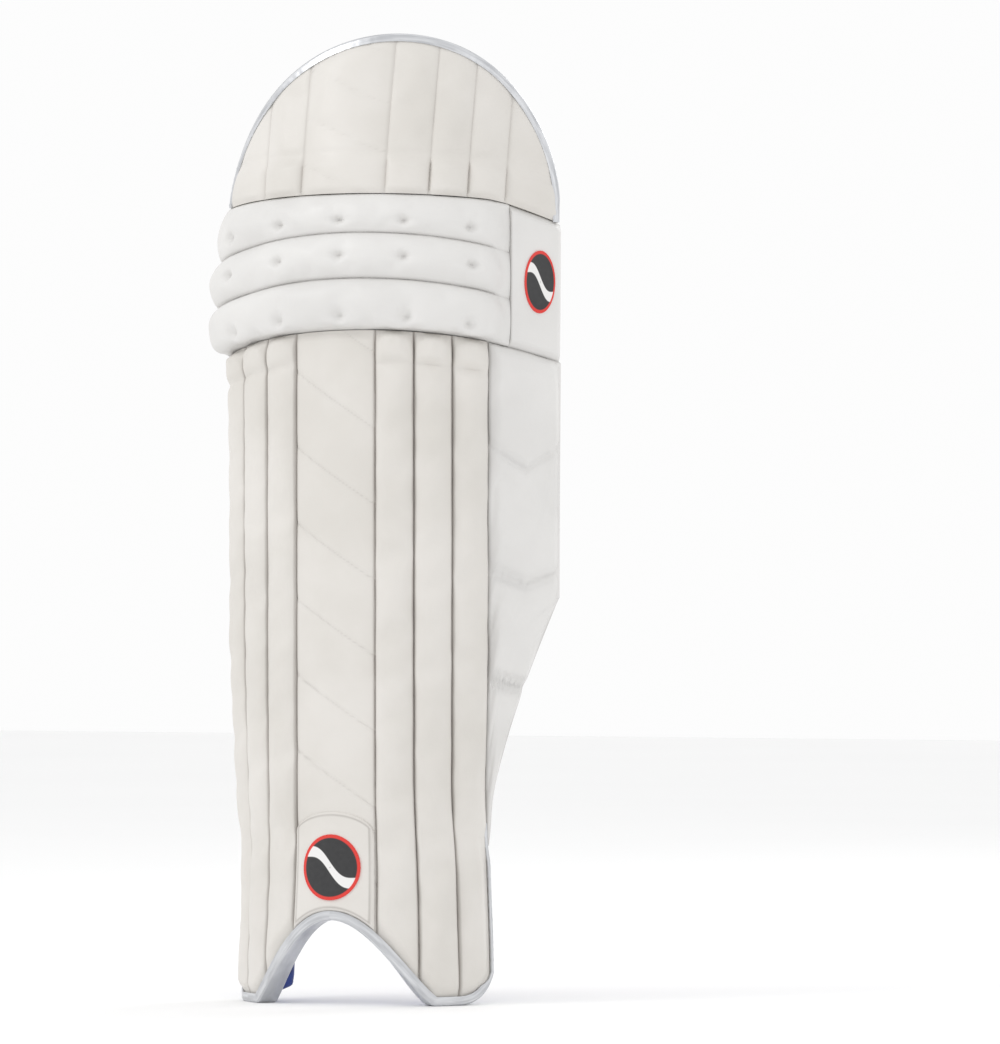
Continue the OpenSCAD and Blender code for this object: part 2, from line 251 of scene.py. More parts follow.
def fix_normals(obj, close=False):
    """Turns the faces outwards, after closing the holes where close is set."""
    bm = bmesh.new()
    bm.from_mesh(obj.data)
    if close:
        bmesh.ops.remove_doubles(bm, verts=bm.verts, dist=1e-6)
        bmesh.ops.holes_fill(bm, edges=[e for e in bm.edges if e.is_boundary], sides=0)
    bmesh.ops.recalc_face_normals(bm, faces=bm.faces)
    bm.to_mesh(obj.data)
    bm.free()


def cover_mesh(name, front, back, uv, seam=None, seam_back=None, uv_front=None):
    """A closed cover with a front and a back face over the same grid."""
    nu, nv = front.shape[0] - 1, front.shape[1] - 1
    count = (nu + 1) * (nv + 1)
    idx = np.arange(count).reshape(nu + 1, nv + 1)
    edge = np.concatenate([idx[:, 0], idx[-1, 1:], idx[-2::-1, -1], idx[0, -2:0:-1]])
    after = np.roll(edge, -1)
    walls = np.stack([after, edge, edge + count, after + count], -1)
    faces = np.concatenate([grid_faces(nu, nv), grid_faces(nu, nv, count, True), walls])
    points = np.concatenate([front.reshape(-1, 3), back.reshape(-1, 3)])
    seams = [np.zeros(count) if x is None else np.ravel(x) for x in (seam, seam_back)]
    uv = np.concatenate([(uv if uv_front is None else uv_front).reshape(-1, 2), uv.reshape(-1, 2)])
    return make_mesh(name, points, faces, uv, np.concatenate(seams))


def attach(obj, body, nodes=(), material=None):
    """Rides obj on its body, hides the CAD nodes it stands for and gives it its material.
    body is a body's name, or a function that places the piece itself."""
    if material:
        obj.data.materials.append(material)
    if nodes:
        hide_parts(*nodes)
    if callable(body):
        body(obj)
    else:
        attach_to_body(obj, body)
    return obj


def pad(node, s, z, front, back, look, fill, body="shin", cut=np.s_[:], name=None, **marks):
    """The padded cover of a CAD node. Its front and back are offsets or points over s and z,
    and cut picks its part of a sheet that several covers share."""
    front, back = (x if np.ndim(x) == 3 else place(s, z, x) for x in (front, back))
    marks = {key: value[cut] for key, value in marks.items()}
    obj = cover_mesh(name or node + "_cover", front[cut], back[cut], joined(s, z)[cut], **marks)
    return attach(obj, body, (node,), MAT[look])


def billow(points, pinned, cap, soft, pressure=4.0, spare=0.02, inside=False):
    """Lets a grid of cloth swell between its pinned points, by a cloth simulation. A point
    moves by cap at most, and small wrinkles are smoothed soft times."""
    frames = 20
    nu, nv = points.shape[0] - 1, points.shape[1] - 1
    me = bpy.data.meshes.new("billow")
    me.from_pydata(points.reshape(-1, 3).tolist(), [], grid_faces(nu, nv, flip=inside).tolist())
    obj = bpy.data.objects.new("billow", me)
    scene = bpy.context.scene
    scene.collection.objects.link(obj)
    group = obj.vertex_groups.new(name="pin")
    group.add([int(i) for i in np.flatnonzero(pinned.ravel())], 1.0, "REPLACE")
    mod = obj.modifiers.new("Cloth", "CLOTH")
    cloth = {
        "quality": 5, "mass": 0.2, "tension_stiffness": 12, "compression_stiffness": 12,
        "shear_stiffness": 6, "bending_stiffness": 2.0, "vertex_group_mass": "pin",
        "use_pressure": True, "uniform_pressure_force": pressure, "shrink_min": -spare,
    }
    for key, value in cloth.items():
        setattr(mod.settings, key, value)
    mod.settings.effector_weights.gravity = 0
    mod.collision_settings.use_collision = False
    mod.point_cache.frame_start = 1
    mod.point_cache.frame_end = frames
    for f in range(1, frames + 1):
        scene.frame_set(f)
    dg = bpy.context.evaluated_depsgraph_get()
    done = obj.evaluated_get(dg).data
    out = np.empty(len(done.vertices) * 3)
    done.vertices.foreach_get("co", out)
    scene.frame_set(1)
    bpy.data.objects.remove(obj)
    bpy.data.meshes.remove(me)
    move = out.reshape(points.shape) - points
    held = pinned[..., None]
    for _ in range(soft):
        wide = np.pad(move, ((1, 1), (1, 1), (0, 0)), mode="edge")
        around = (wide[:-2, 1:-1] + wide[2:, 1:-1] + wide[1:-1, :-2] + wide[1:-1, 2:]) / 4
        move = np.where(held, move, 0.4 * move + 0.6 * around)
    length = np.linalg.norm(move, axis=-1, keepdims=True)
    return points + move * np.minimum(1, cap / np.maximum(length, 1e-9))


# ----------------------------------------------------------------- materials
class Shader:
    """A Principled material whose nodes are added by short calls."""

    def __init__(self, name, roughness=0.5, metallic=0.0, specular=0.5, sheen=0.0, coat=0.0):
        self.mat = bpy.data.materials.new(name)
        self.mat.use_nodes = True
        self.tree = self.mat.node_tree
        self.bsdf = self.tree.nodes["Principled BSDF"]
        for key, value in (
            ("Roughness", roughness), ("Metallic", metallic), ("Specular IOR Level", specular),
            ("Sheen Weight", sheen), ("Coat Weight", coat),
        ):
            self.set(self.bsdf, key, value)

    def set(self, node, key, value):
        socket = node.inputs[key]
        if isinstance(value, bpy.types.NodeSocket):
            self.tree.links.new(value, socket)
        else:
            socket.default_value = value

    def node(self, kind, out=0, inputs=None, **props):
        n = self.tree.nodes.new("ShaderNode" + kind)
        for key, value in props.items():
            setattr(n, key, value)
        for key, value in (inputs or {}).items():
            self.set(n, key, value)
        return n.outputs[out]

    def math(self, op, a, b=0.0, c=0.0):
        return self.node("Math", operation=op, inputs={0: a, 1: b, 2: c})

    def minus(self, a, b):
        return self.math("SUBTRACT", a, b)

    def times(self, a, b, plus=None):
        if plus is None:
            return self.math("MULTIPLY", a, b)
        return self.math("MULTIPLY_ADD", a, b, plus)

    def distance(self, a, b):
        return self.math("SQRT", self.times(a, a, self.times(b, b)))

    def place(self):
        return self.node("TexCoord", out="Object")

    def uv(self):
        """Place round and up the pad, in metres."""
        xyz = self.tree.nodes.new("ShaderNodeSeparateXYZ")
        self.set(xyz, 0, self.node("UVMap", uv_map="pad"))
        return xyz.outputs[0], xyz.outputs[1]

    def noise(self, scale, detail=3.0, rough=0.5, vector=None):
        vector = self.place() if vector is None else vector
        return self.node(
            "TexNoise", inputs={"Vector": vector, "Scale": scale, "Detail": detail, "Roughness": rough}
        )

    def cells(self, scale):
        return self.node("TexVoronoi", inputs={"Vector": self.place(), "Scale": scale})

    def ramp(self, fac, low, high):
        """0 below low and 1 above high."""
        return self.node(
            "MapRange", interpolation_type="SMOOTHSTEP",
            inputs={"Value": fac, "From Min": low, "From Max": high},
        )

    def band(self, x, low, high, soft):
        """1 between low and high."""
        rise = self.ramp(x, low - soft, low + soft)
        fall = self.ramp(x, high + soft, high - soft)
        return self.times(rise, fall)

    def mix(self, fac, a, b):
        n = self.tree.nodes.new("ShaderNodeMix")
        n.data_type = "RGBA"
        self.set(n, 0, fac)
        for key, colour in ((6, a), (7, b)):
            self.set(n, key, (*colour, 1) if isinstance(colour, tuple) else colour)
        return n.outputs[2]

    def combine(self, x, y):
        return self.node("CombineXYZ", inputs={0: x, 1: y})

    def waves(self, x, pitch):
        """Ribs of that pitch, from 0 to 1."""
        s = self.math("SINE", self.times(x, math.tau / pitch))
        return self.times(s, 0.5, 0.5)

    def hexagons(self, x, y, cell):
        """Distance to the nearest edge of a honeycomb, 0 at an edge and 0.5 in a cell's middle."""
        half, root = 0.5, math.sqrt(3)
        px, py = self.math("DIVIDE", x, cell), self.math("DIVIDE", y, cell)

        def wrap(v, shift, span):
            v = self.math("FLOORED_MODULO", self.minus(v, shift), span)
            return self.math("ABSOLUTE", self.minus(v, span / 2))

        def square(a, b):
            return self.times(a, a, self.times(b, b))

        ax, ay = wrap(px, 0, 1), wrap(py, 0, root)
        bx, by = wrap(px, half, 1), wrap(py, root / 2, root)
        near = self.math("LESS_THAN", square(ax, ay), square(bx, by))
        gx = self.times(near, self.minus(ax, bx), bx)
        gy = self.times(near, self.minus(ay, by), by)
        slant = self.times(gx, half, self.times(gy, root / 2))
        return self.minus(half, self.math("MAXIMUM", gx, slant))

    def bump(self, *layers):
        """Each layer is a height, its strength and its depth in metres."""
        normal = None
        for height, strength, depth in layers:
            n = self.tree.nodes.new("ShaderNodeBump")
            self.set(n, "Height", height)
            self.set(n, "Strength", strength)
            self.set(n, "Distance", depth)
            if normal is not None:
                self.set(n, "Normal", normal)
            normal = n.outputs[0]
        self.set(self.bsdf, "Normal", normal)
        return self.mat

    def woven(self):
        return self.bump((self.cells(1800), 0.3, 0.00015), (self.noise(1500, 2), 0.3, 0.00015))

    def colour(self, value):
        self.set(self.bsdf, "Base Color", value)

    def rough(self, fac, low, high):
        self.set(self.bsdf, "Roughness", self.times(fac, high - low, low))


def pvc(name, colour, shade, seam_shade, roughness=(0.42, 0.6), grain=1.0):
    """Coated fabric with a fine leather grain, and painted shade along its seams, creases and dimples."""
    sh = Shader(name, specular=0.4, coat=0.05)
    seam = sh.node("Attribute", out="Fac", attribute_name="seam")
    patches = sh.noise(14, 4)
    base = sh.mix(sh.ramp(patches, 0.35, 0.7), colour, shade)
    # Painted shade: the colour darkens along the seam mask, unevenly by the noise patches, standing for the
    # shade in seams, creases and dimples.
    seam_shade_mask = sh.times(sh.ramp(seam, 0.15, 1.0), sh.times(patches, 0.7, 0.25))
    sh.colour(sh.mix(seam_shade_mask, base, seam_shade))
    fine = sh.cells(1500)
    weave = sh.noise(900, 2, 0.6)
    sh.rough(sh.noise(60, 3), *roughness)
    return sh.bump(
        (fine, 0.22 * grain, 0.00012), (weave, 0.25 * grain, 0.00015), (sh.noise(120, 3), 0.1, 0.0006)
    )


def silver_tape():
    """Metallic coated tape, slightly crumpled, with painted reflection streaks along it."""
    sh = Shader("silver_tape", metallic=0.75, specular=0.5)
    u, v = sh.uv()
    streaks = sh.noise(1, 3, 0.5, vector=sh.combine(sh.times(u, 35), sh.times(v, 420)))
    # Painted reflection: dark and bright streaks along the tape in its colour.
    sh.colour(sh.mix(sh.ramp(streaks, 0.3, 0.7), (0.5, 0.51, 0.53), (0.7, 0.71, 0.73)))
    sh.rough(sh.noise(90, 2), 0.26, 0.38)
    return sh.bump((streaks, 0.3, 0.0004), (sh.noise(130, 2), 0.2, 0.0005), (sh.cells(2200), 0.15, 0.0001))


def glossy_blue():
    sh = Shader("glossy_blue", specular=0.35, coat=0.12)
    sh.set(sh.bsdf, "Coat Roughness", 0.12)
    patches = sh.noise(20, 4)
    seam = sh.node("Attribute", out="Fac", attribute_name="seam")
    base = sh.mix(patches, (0.008, 0.03, 0.2), (0.014, 0.05, 0.3))
    # Painted shade: darker towards the channels' seams, along the seam mask.
    sh.colour(sh.mix(sh.times(seam, 0.85), base, (0.002, 0.006, 0.045)))
    sh.rough(sh.noise(90, 3), 0.25, 0.36)
    return sh.bump((sh.cells(1300), 0.12, 0.0001), (sh.noise(150, 4, 0.6), 0.15, 0.0006))


def spacer_mesh():
    """Open mesh: pale threads round rows of dark holes, woven on the slant."""
    sh = Shader("spacer_mesh", roughness=0.85, specular=0.2, sheen=0.35)
    u, v = sh.uv()
    pitch = 2.3 * MM
    along = sh.math("ADD", u, sh.times(v, 0.75))
    across = sh.minus(v, sh.times(u, 0.75))
    dots = sh.times(sh.waves(along, pitch), sh.waves(across, pitch * 0.8))
    knot = sh.ramp(dots, 0.25, 0.6)
    tone = sh.noise(25, 3)
    ground = sh.mix(tone, (0.25, 0.265, 0.48), (0.31, 0.325, 0.56))
    sh.colour(sh.mix(knot, ground, (0.62, 0.64, 0.82)))
    return sh.bump((knot, 0.6, 0.0005), (sh.noise(2500, 2), 0.3, 0.0001))


def webbing(name, low, width):
    """Woven strap, from low up by width, with a blue and an orange stripe along its lower half."""
    sh = Shader(name, roughness=0.72, specular=0.3, sheen=0.3)
    u, v = sh.uv()
    across = sh.math("DIVIDE", sh.minus(v, low), width)
    tone = sh.noise(30, 3)
    base = sh.mix(tone, (0.72, 0.67, 0.79), (0.84, 0.8, 0.9))
    blue = sh.band(across, 0.27, 0.41, 0.006)
    orange = sh.band(across, 0.12, 0.27, 0.006)
    base = sh.mix(blue, base, (0.04, 0.045, 0.24))
    sh.colour(sh.mix(orange, base, (0.82, 0.1, 0.035)))
    ribs = sh.waves(v, 1.3 * MM)
    picks = sh.waves(u, 0.9 * MM)
    return sh.bump((ribs, 0.5, 0.0003), (picks, 0.35, 0.00015), (sh.noise(2000, 2), 0.2, 0.0001))


def hook_tape():
    """Cream tape with fine ribs of hooks."""
    sh = Shader("hook_tape", roughness=0.6, specular=0.35, sheen=0.1)
    u, v = sh.uv()
    ribs = sh.waves(v, 3.2 * MM)
    sh.colour(sh.mix(sh.times(ribs, sh.noise(200, 2)), (0.72, 0.68, 0.58), (0.9, 0.87, 0.8)))
    dots = sh.times(ribs, sh.waves(u, 1.6 * MM))
    return sh.bump((dots, 0.7, 0.0006), (sh.noise(1800, 2), 0.2, 0.0001))


def honeycomb(name, ground, line, cell, width):
    """Printed cloth with a honeycomb of rounded cells."""
    sh = Shader(name, roughness=0.75, specular=0.25, sheen=0.25)
    u, v = sh.uv()
    edge = sh.hexagons(u, v, cell)
    mark = sh.ramp(edge, width, width * 0.45)
    tone = sh.noise(30, 3)
    base = sh.mix(tone, ground, tuple(min(1.0, c * 1.06) for c in ground))
    return sh, u, v, sh.mix(mark, base, line)


def tricolour(sh, base, x, low, widths, colours, soft=0.25 * MM):
    """Bands side by side along x, starting at low."""
    start = low
    for width, colour in zip(widths, colours):
        base = sh.mix(sh.band(x, start, start + width, soft), base, colour)
        start += width
    return base


BLUE = (0.02, 0.075, 0.25)
NAVY = (0.016, 0.024, 0.1)
ORANGE = (0.8, 0.085, 0.03)
PALE = (0.86, 0.84, 0.87)


def emblem_material():
    """A plain oval badge: dark field, white wave, red rim."""
    sh = Shader("emblem", roughness=0.35, specular=0.5, coat=0.2)
    u, v = sh.uv()
    r = sh.distance(u, v)
    base = sh.mix(sh.noise(300, 3), (0.012, 0.012, 0.013), (0.03, 0.03, 0.032))
    slant = sh.times(u, 0.6, v)
    wave = sh.times(sh.math("SINE", sh.times(u, 4.0)), 0.16, slant)
    base = sh.mix(sh.band(wave, -0.16, 0.16, 0.015), base, (0.82, 0.81, 0.8))
    sh.colour(sh.mix(sh.ramp(r, 0.88, 0.91), base, (0.7, 0.03, 0.02)))
    return sh.bump((sh.cells(1500), 0.15, 0.0001))


def hat_print():
    """White lining with a slanted blue stripe, a honeycomb and a blue and orange corner."""
    sh, u, v, comb = honeycomb("hat_print", (0.9, 0.79, 0.75), (0.86, 0.5, 0.43), 6.2 * MM, 0.1)
    plain = sh.mix(sh.noise(20, 4), (0.86, 0.85, 0.86), (0.8, 0.79, 0.8))

    def across(s, z, ds, dz):
        length = math.hypot(ds, dz)
        a = sh.times(sh.minus(u, s), -dz / length)
        return sh.times(sh.minus(v, z), ds / length, a)

    stripe = across(-48 * MM, 662 * MM, 81, -112)
    along = sh.times(sh.math("ADD", u, 48 * MM), 1 / (81 * MM))
    sag = sh.times(along, sh.minus(1.0, along))
    stripe = sh.times(sag, 44 * MM, stripe)
    base = sh.mix(sh.ramp(stripe, -0.3 * MM, 0.3 * MM), comb, plain)
    base = sh.mix(sh.band(stripe, -3 * MM, 3 * MM, 0.3 * MM), base, BLUE)
    corner = across(-91 * MM, 594 * MM, 36, -45)
    base = tricolour(sh, base, corner, -13 * MM, (5 * MM, 8 * MM), (ORANGE, NAVY))
    base = sh.mix(sh.ramp(corner, -12.7 * MM, -13.3 * MM), base, BLUE)
    sh.colour(base)
    sh.rough(sh.noise(60, 3), 0.4, 0.5)
    return sh.bump((sh.cells(1500), 0.12, 0.0001), (sh.noise(60, 3), 0.15, 0.001))


def channel_print():
    """Pink honeycomb with a slanted blue stripe near its foot."""
    sh, u, v, comb = honeycomb("channel_print", (0.94, 0.62, 0.6), (0.76, 0.26, 0.3), 5.6 * MM, 0.09)
    d = sh.times(u, 0.77, sh.times(v, 0.64))
    stripe = sh.minus(d, 128.5 * MM)
    base = sh.mix(sh.band(stripe, -2.6 * MM, 2.6 * MM, 0.3 * MM), comb, BLUE)
    sh.colour(sh.mix(sh.ramp(stripe, -26.2 * MM, -26.8 * MM), base, NAVY))
    return sh.woven()


def printed_oval(sh, u, v, u0, v0, half_u, half_v):
    """Distance from the middle of an oval print, 1 at its rim."""
    a = sh.math("DIVIDE", sh.minus(u, u0), half_u)
    b = sh.math("DIVIDE", sh.minus(v, v0), half_v)
    return sh.distance(a, b)


def cushion_print():
    """Lilac cloth, with curved bands and a honeycomb on the outer sections."""
    sh, u, v, comb = honeycomb("cushion_print", (0.76, 0.73, 0.83), (0.3, 0.3, 0.5), 7.5 * MM, 0.12)
    plain = sh.mix(sh.noise(18, 4), (0.72, 0.67, 0.8), (0.83, 0.79, 0.89))
    du = sh.minus(sh.math("ABSOLUTE", u), 115 * MM)
    dv = sh.minus(v, 486 * MM)
    r = sh.distance(du, dv)
    base = sh.mix(sh.ramp(r, 49.3 * MM, 48.7 * MM), plain, comb)
    base = tricolour(sh, base, r, 49 * MM, (3 * MM, 6.5 * MM, 8 * MM), (PALE, ORANGE, BLUE))
    oval = printed_oval(sh, u, v, 6 * MM, 512 * MM, 19 * MM, 22 * MM)
    base = tricolour(sh, base, oval, 0.84, (0.08, 0.08), (BLUE, (0.72, 0.16, 0.2)), 0.01)
    sh.colour(base)
    return sh.woven()


def calf_tab_print():
    """Cream tab with a red and a grey stripe near its tip."""
    sh = Shader("calf_tab_print", roughness=0.45, specular=0.4)
    u, v = sh.uv()
    base = sh.mix(sh.noise(40, 3), (0.86, 0.82, 0.76), (0.8, 0.76, 0.7))
    w = sh.minus(v, 0.351)
    bend = sh.math("ADD", u, sh.times(w, sh.times(w, -3.0, 0.17)))
    base = tricolour(sh, base, bend, 0.137, (1.6 * MM, 1.2 * MM), ((0.55, 0.03, 0.03), (0.06, 0.02, 0.02)))
    base = tricolour(sh, base, bend, 0.152, (1.8 * MM,), ((0.08, 0.08, 0.09),))
    oval = printed_oval(sh, u, v, 0.112, 0.352, 13.5 * MM, 17 * MM)
    base = sh.mix(sh.ramp(oval, 1.01, 0.99), base, (0.62, 0.03, 0.025))
    field = sh.mix(sh.band(sh.times(w, 1.0, sh.times(u, 0.7)), 0.0765, 0.0815, 0.0002),
                   (0.02, 0.02, 0.022), (0.8, 0.78, 0.75))
    sh.colour(sh.mix(sh.ramp(oval, 0.89, 0.87), base, field))
    return sh.bump((sh.cells(1600), 0.2, 0.00012), (sh.noise(120, 3), 0.15, 0.0006))


def cane_material():
    sh = Shader("split_cane", roughness=0.55, specular=0.4)
    grain = sh.noise(1.0, 4, 0.6, sh.node("Mapping", inputs={"Vector": sh.place(), "Scale": (500, 500, 12)}))
    sh.colour(sh.mix(grain, (0.36, 0.23, 0.1), (0.62, 0.46, 0.24)))
    return sh.bump((grain, 0.4, 0.0004))


def two_tone(name, tone, low, high, *layers, **finish):
    """A material between two colours. Its tone and each layer's height name a texture
    and give its numbers."""
    sh = Shader(name, **finish)

    def texture(kind, *numbers):
        return getattr(sh, kind)(*numbers)

    sh.colour(sh.mix(texture(*tone), low, high))
    return sh.bump(*((texture(*height), strength, depth) for height, strength, depth in layers))


MAT = {
    # The fourth colour of each pvc is its painted seam shade.
    "front": pvc("front_pvc", (0.72, 0.695, 0.66), (0.665, 0.64, 0.6), (0.36, 0.335, 0.31)),
    "roll": pvc("roll_pvc", (0.74, 0.73, 0.715), (0.695, 0.685, 0.67), (0.42, 0.41, 0.39)),
    "lining": pvc("lining_pvc", (0.77, 0.75, 0.8), (0.72, 0.7, 0.75), (0.5, 0.48, 0.52), grain=0.6),
    "silver": silver_tape(),
    "blue": glossy_blue(),
    "mesh": spacer_mesh(),
    "hook": hook_tape(),
    "emblem": emblem_material(),
    "hat_print": hat_print(),
    "channel_print": channel_print(),
    "cushion_print": cushion_print(),
    "calf_tab": calf_tab_print(),
    "foam": two_tone(
        "foam", ("cells", 700), (0.3, 0.3, 0.29), (0.42, 0.42, 0.41), (("cells", 900), 0.5, 0.0004),
        roughness=0.9, specular=0.2,
    ),
    "cane": cane_material(),
    "ring": two_tone(
        "ring_plastic", ("noise", 40, 3), (0.78, 0.76, 0.79), (0.86, 0.85, 0.87),
        (("noise", 600, 3), 0.15, 0.0002), roughness=0.35, coat=0.1,
    ),
    "thread": two_tone(
        "thread", ("noise", 900, 2), (0.62, 0.6, 0.58), (0.8, 0.78, 0.76),
        (("noise", 3000, 2), 0.4, 0.0001), roughness=0.7, specular=0.3, sheen=0.2,
    ),
    "loop": two_tone(
        "loop_tape", ("noise", 900, 3), (0.7, 0.67, 0.62), (0.86, 0.83, 0.78),
        (("noise", 1600, 3, 0.7), 0.8, 0.0005), roughness=0.95, specular=0.1, sheen=0.5,
    ),
}


# --------------------------------------------------------------- front covers
def seam_lines(share, count_mm, width=1.5):
    """How close a place is to the seams at both sides of its section."""
    return bell(np.minimum(share, 1 - share) * count_mm, width)


def shin_bottom(s):
    return foot_z(s) + 3.4 * MM


def off_lines(across, pitch):
    """Distance from the nearest of a row of quilting lines."""
    line = across / pitch
    return np.abs(line - np.round(line)) * pitch


def section_shares(per, crowd=0.55):
    """Places across a section from 0 to 1, closer together at its seams."""
    k = np.arange(per + 1) / per
    return (1 - crowd) * k + crowd * (0.5 - 0.5 * np.cos(np.pi * k))


def build_canes(side):
    """The three canes of one side: one swelling sheet, cut at its seams."""
    per = 16
    lo = CENTRE_W / 2 if side > 0 else -HALF_W
    line = section_shares(per)
    shares = np.concatenate([line[:-1], line[:-1], line])
    s, v = sheet(lo + CANE_W * np.concatenate([line[:-1], 1 + line[:-1], 2 + line]), 210)
    bottom, top = shin_bottom(s), roll_seam(0, s) - 0.3 * MM
    z = bottom + (top - bottom) * v
    share = shares[:, None] * np.ones_like(z)
    from_top = top - z
    n = 6.0 * MM * puff(share, 0.42)
    to_side = HALF_W - np.abs(s) - 3 * MM + np.maximum(0, z - 118 * MM)
    hem = np.minimum(foot_gap(s, z) - 6.5 * MM, to_side)
    n *= 0.2 + 0.8 * smooth((hem + 1 * MM) / (9 * MM))
    crease = bell(from_top - 22 * MM, 3.0 * MM) * (0.8 + 0.2 * np.sin(s * 210))
    n += puff(share, 0.5) * (1.8 * MM * smooth((23 * MM - from_top) / (9 * MM)) - 2.6 * MM * crease)
    corner = (5 + 9 * np.abs(2 * share - 1) ** 3) * MM
    n *= 0.3 + 0.7 * smooth(from_top / corner)
    n += 0.5 * MM * np.sin(s * 1100) * bell(from_top - 6 * MM, 5 * MM) * puff(share)
    n += wobble(s, z, 0.35) * puff(share)
    pinned = (share <= 0) | (share >= 1) | (v == 0) | (v == 1) | (hem < 1 * MM)
    points = billow(place(s, z, n), pinned, pressure=5, cap=2.2 * MM, soft=8)
    # Seam mask for painted shade: the seams, the canes' tops under the knee roll and the crease below their
    # caps.
    seam = np.maximum(seam_lines(share, CANE_W / MM), 0.8 * bell(from_top, 3 * MM))
    seam = np.maximum(seam, 0.35 * crease)
    for k in range(3):
        cut = slice(k * per, (k + 1) * per + 1)
        node = f"cane_{SIDES[side]}_{k + 1 if side > 0 else 3 - k}"
        pad(node, s, z, points, COVER_BACK, "front", 0.8, cut=cut, seam=seam)


def build_centre_panel():
    s, v = sheet(span(-CENTRE_W / 2, CENTRE_W / 2, 48), 300)
    bottom, top = shin_bottom(s), roll_seam(0, s) - 0.3 * MM
    z = bottom + (top - bottom) * v
    share = (s + CENTRE_W / 2) / CENTRE_W
    away = off_lines(z + 0.68 * s, 53 * MM)
    n = 2.6 * MM * puff(share, 0.3) + 0.3 * MM * rise(away, 0, 14) - 0.7 * MM * bell(away, 1.0 * MM)
    n *= 0.5 + 0.5 * smooth((z - bottom) / (8 * MM))
    n *= 0.4 + 0.6 * smooth((top - z) / (8 * MM))
    n += wobble(s, z, 0.25) * puff(share)
    seam = np.maximum(seam_lines(share, 60), 0.5 * bell(away, 0.9 * MM))
    pad("centre_panel", s, z, n, COVER_BACK, "front", 0.7, seam=seam)


def build_badge_patch():
    """Smooth patch with a rounded top, sewn over the foot of the centre panel."""
    half = CENTRE_W / 2 - 1.5 * MM
    u, v = sheet(span(-1, 1, 40), 60)
    s = u * half
    low = foot_z(s) + 6.8 * MM * MM / foot_gap(s, foot_z(s) + MM)
    top = 136 * MM - 17 * MM * (1 - np.sqrt(1 - (0.98 * u) ** 2))
    z = low + (top - low) * v
    edge = np.minimum(np.minimum((1 - np.abs(u)) * half, top - z), z - low)
    n = 3.0 * MM + 2.0 * MM * rise(edge, 0, 3) ** 0.5 + 0.8 * MM * rise(edge, 0, 20)
    pad("badge_patch", s, z, n, 2.2 * MM, "front", 0.5, seam=bell(edge - 2.6 * MM, 0.9 * MM))


def emblem(name, s0, z0, half_s, half_z, n, body, out=1):
    """A thin oval badge that follows the surface."""
    r, a = sheet(span(0.02, 1, 10), 48, 0, math.tau)
    u, v = r * np.cos(a), r * np.sin(a)
    s, z = s0 + half_s * u * out, z0 + half_z * v
    faces = [place(s, z, n + out * (0.9 * MM - 0.5 * MM * r**6)), place(s, z, n - out * 0.6 * MM)]
    obj = cover_mesh(name, *faces[::out], joined(u, v))
    fix_normals(obj, close=True)
    attach(obj, body, material=MAT["emblem"])


DIMPLES = [  # places round the pad of each row's dimples, in mm, from the lower row up
    (-80, -37, 8, 52, 93),
    (-84, -39, 7, 50, 95),
    (-89, -41, 6, 50, 95),
]
DIMPLE_SHARE = (0.42, 0.5, 0.33)
ROLL_BASE = (0.5, 6.0, 4.5, 0.5)  # how far each of the roll's seams stands out, in mm
ROLL_CROWN = (11.5, 8.0, 6.5)


def build_knee_roll():
    """Three bolsters with rows of dimples: one swelling sheet, cut at its seams."""
    per, row_mm = 24, 33
    start = -HALF_W - 4 * MM
    s, t = sheet(span(start, ROLL_END, 180), 3 * per, 0, 3)
    k = np.minimum(t.astype(int), 2)
    share = t - k
    low = np.choose(k, [roll_seam(i, s) for i in range(3)])
    high = np.choose(k, [roll_seam(i + 1, s) for i in range(3)])
    z = low + (high - low) * share
    left, right = s - start, ROLL_END - s
    ends = dome(left / (11 * MM)) * (0.25 + 0.75 * rise(right, 0, 26))
    wide = 1 + 0.7 * rise(-s, 55, 45)
    base = np.interp(t, np.arange(4), ROLL_BASE) * MM * wide
    crown = np.choose(k, ROLL_CROWN) * MM * (1 + 0.15 * (wide - 1))
    n = (base + crown * puff(share, 0.6)) * ends
    for seam_s in (-84, -57, -30, 30, 57, 84):
        n -= 2.4 * MM * bell(s - seam_s * MM, 4 * MM) * bell(t - 0.1, 0.13) * ends
    z -= 6 * MM * bell(t - 0.32, 0.3) * ends * (1 - bell(t, 0.1))
    n += wobble(s, z, 0.8) * puff(share) * ends
    # Seam mask for painted shade: the seams between the rolls, stronger at the roll's top and bottom edges,
    # and round each dimple.
    seam = seam_lines(share, row_mm, 1.4) * np.where((t > 0.5) & (t < 2.5), 0.45, 0.8)
    pinned = (share == 0) | (t == 3) | (left < 1e-6) | (right < 1e-6)
    for row in range(3):
        for s0 in DIMPLES[row]:
            ds, dt = s - s0 * MM, (t - row - DIMPLE_SHARE[row]) * row_mm * MM
            n -= 4.2 * MM * bell(np.sqrt((ds * 0.75) ** 2 + dt**2), 3.0 * MM)
            n -= 1.0 * MM * bell(ds, 10 * MM) * bell(dt, 2.4 * MM)
            pinned |= (np.abs(ds) < 1.6 * MM) & (np.abs(dt) < 1.2 * MM)
            seam = np.maximum(seam, 0.6 * bell(np.sqrt((ds * 0.6) ** 2 + dt**2), 1.6 * MM))
    points = billow(place(s, z, n), pinned, spare=0.03, cap=3.5 * MM, soft=10)
    for row, part in enumerate(("lower", "middle", "upper")):
        cut = np.s_[:, row * per : (row + 1) * per + 1]
        pad("knee_roll_" + part, s, z, points, COVER_BACK, "roll", 0.9, cut=cut, seam=seam)


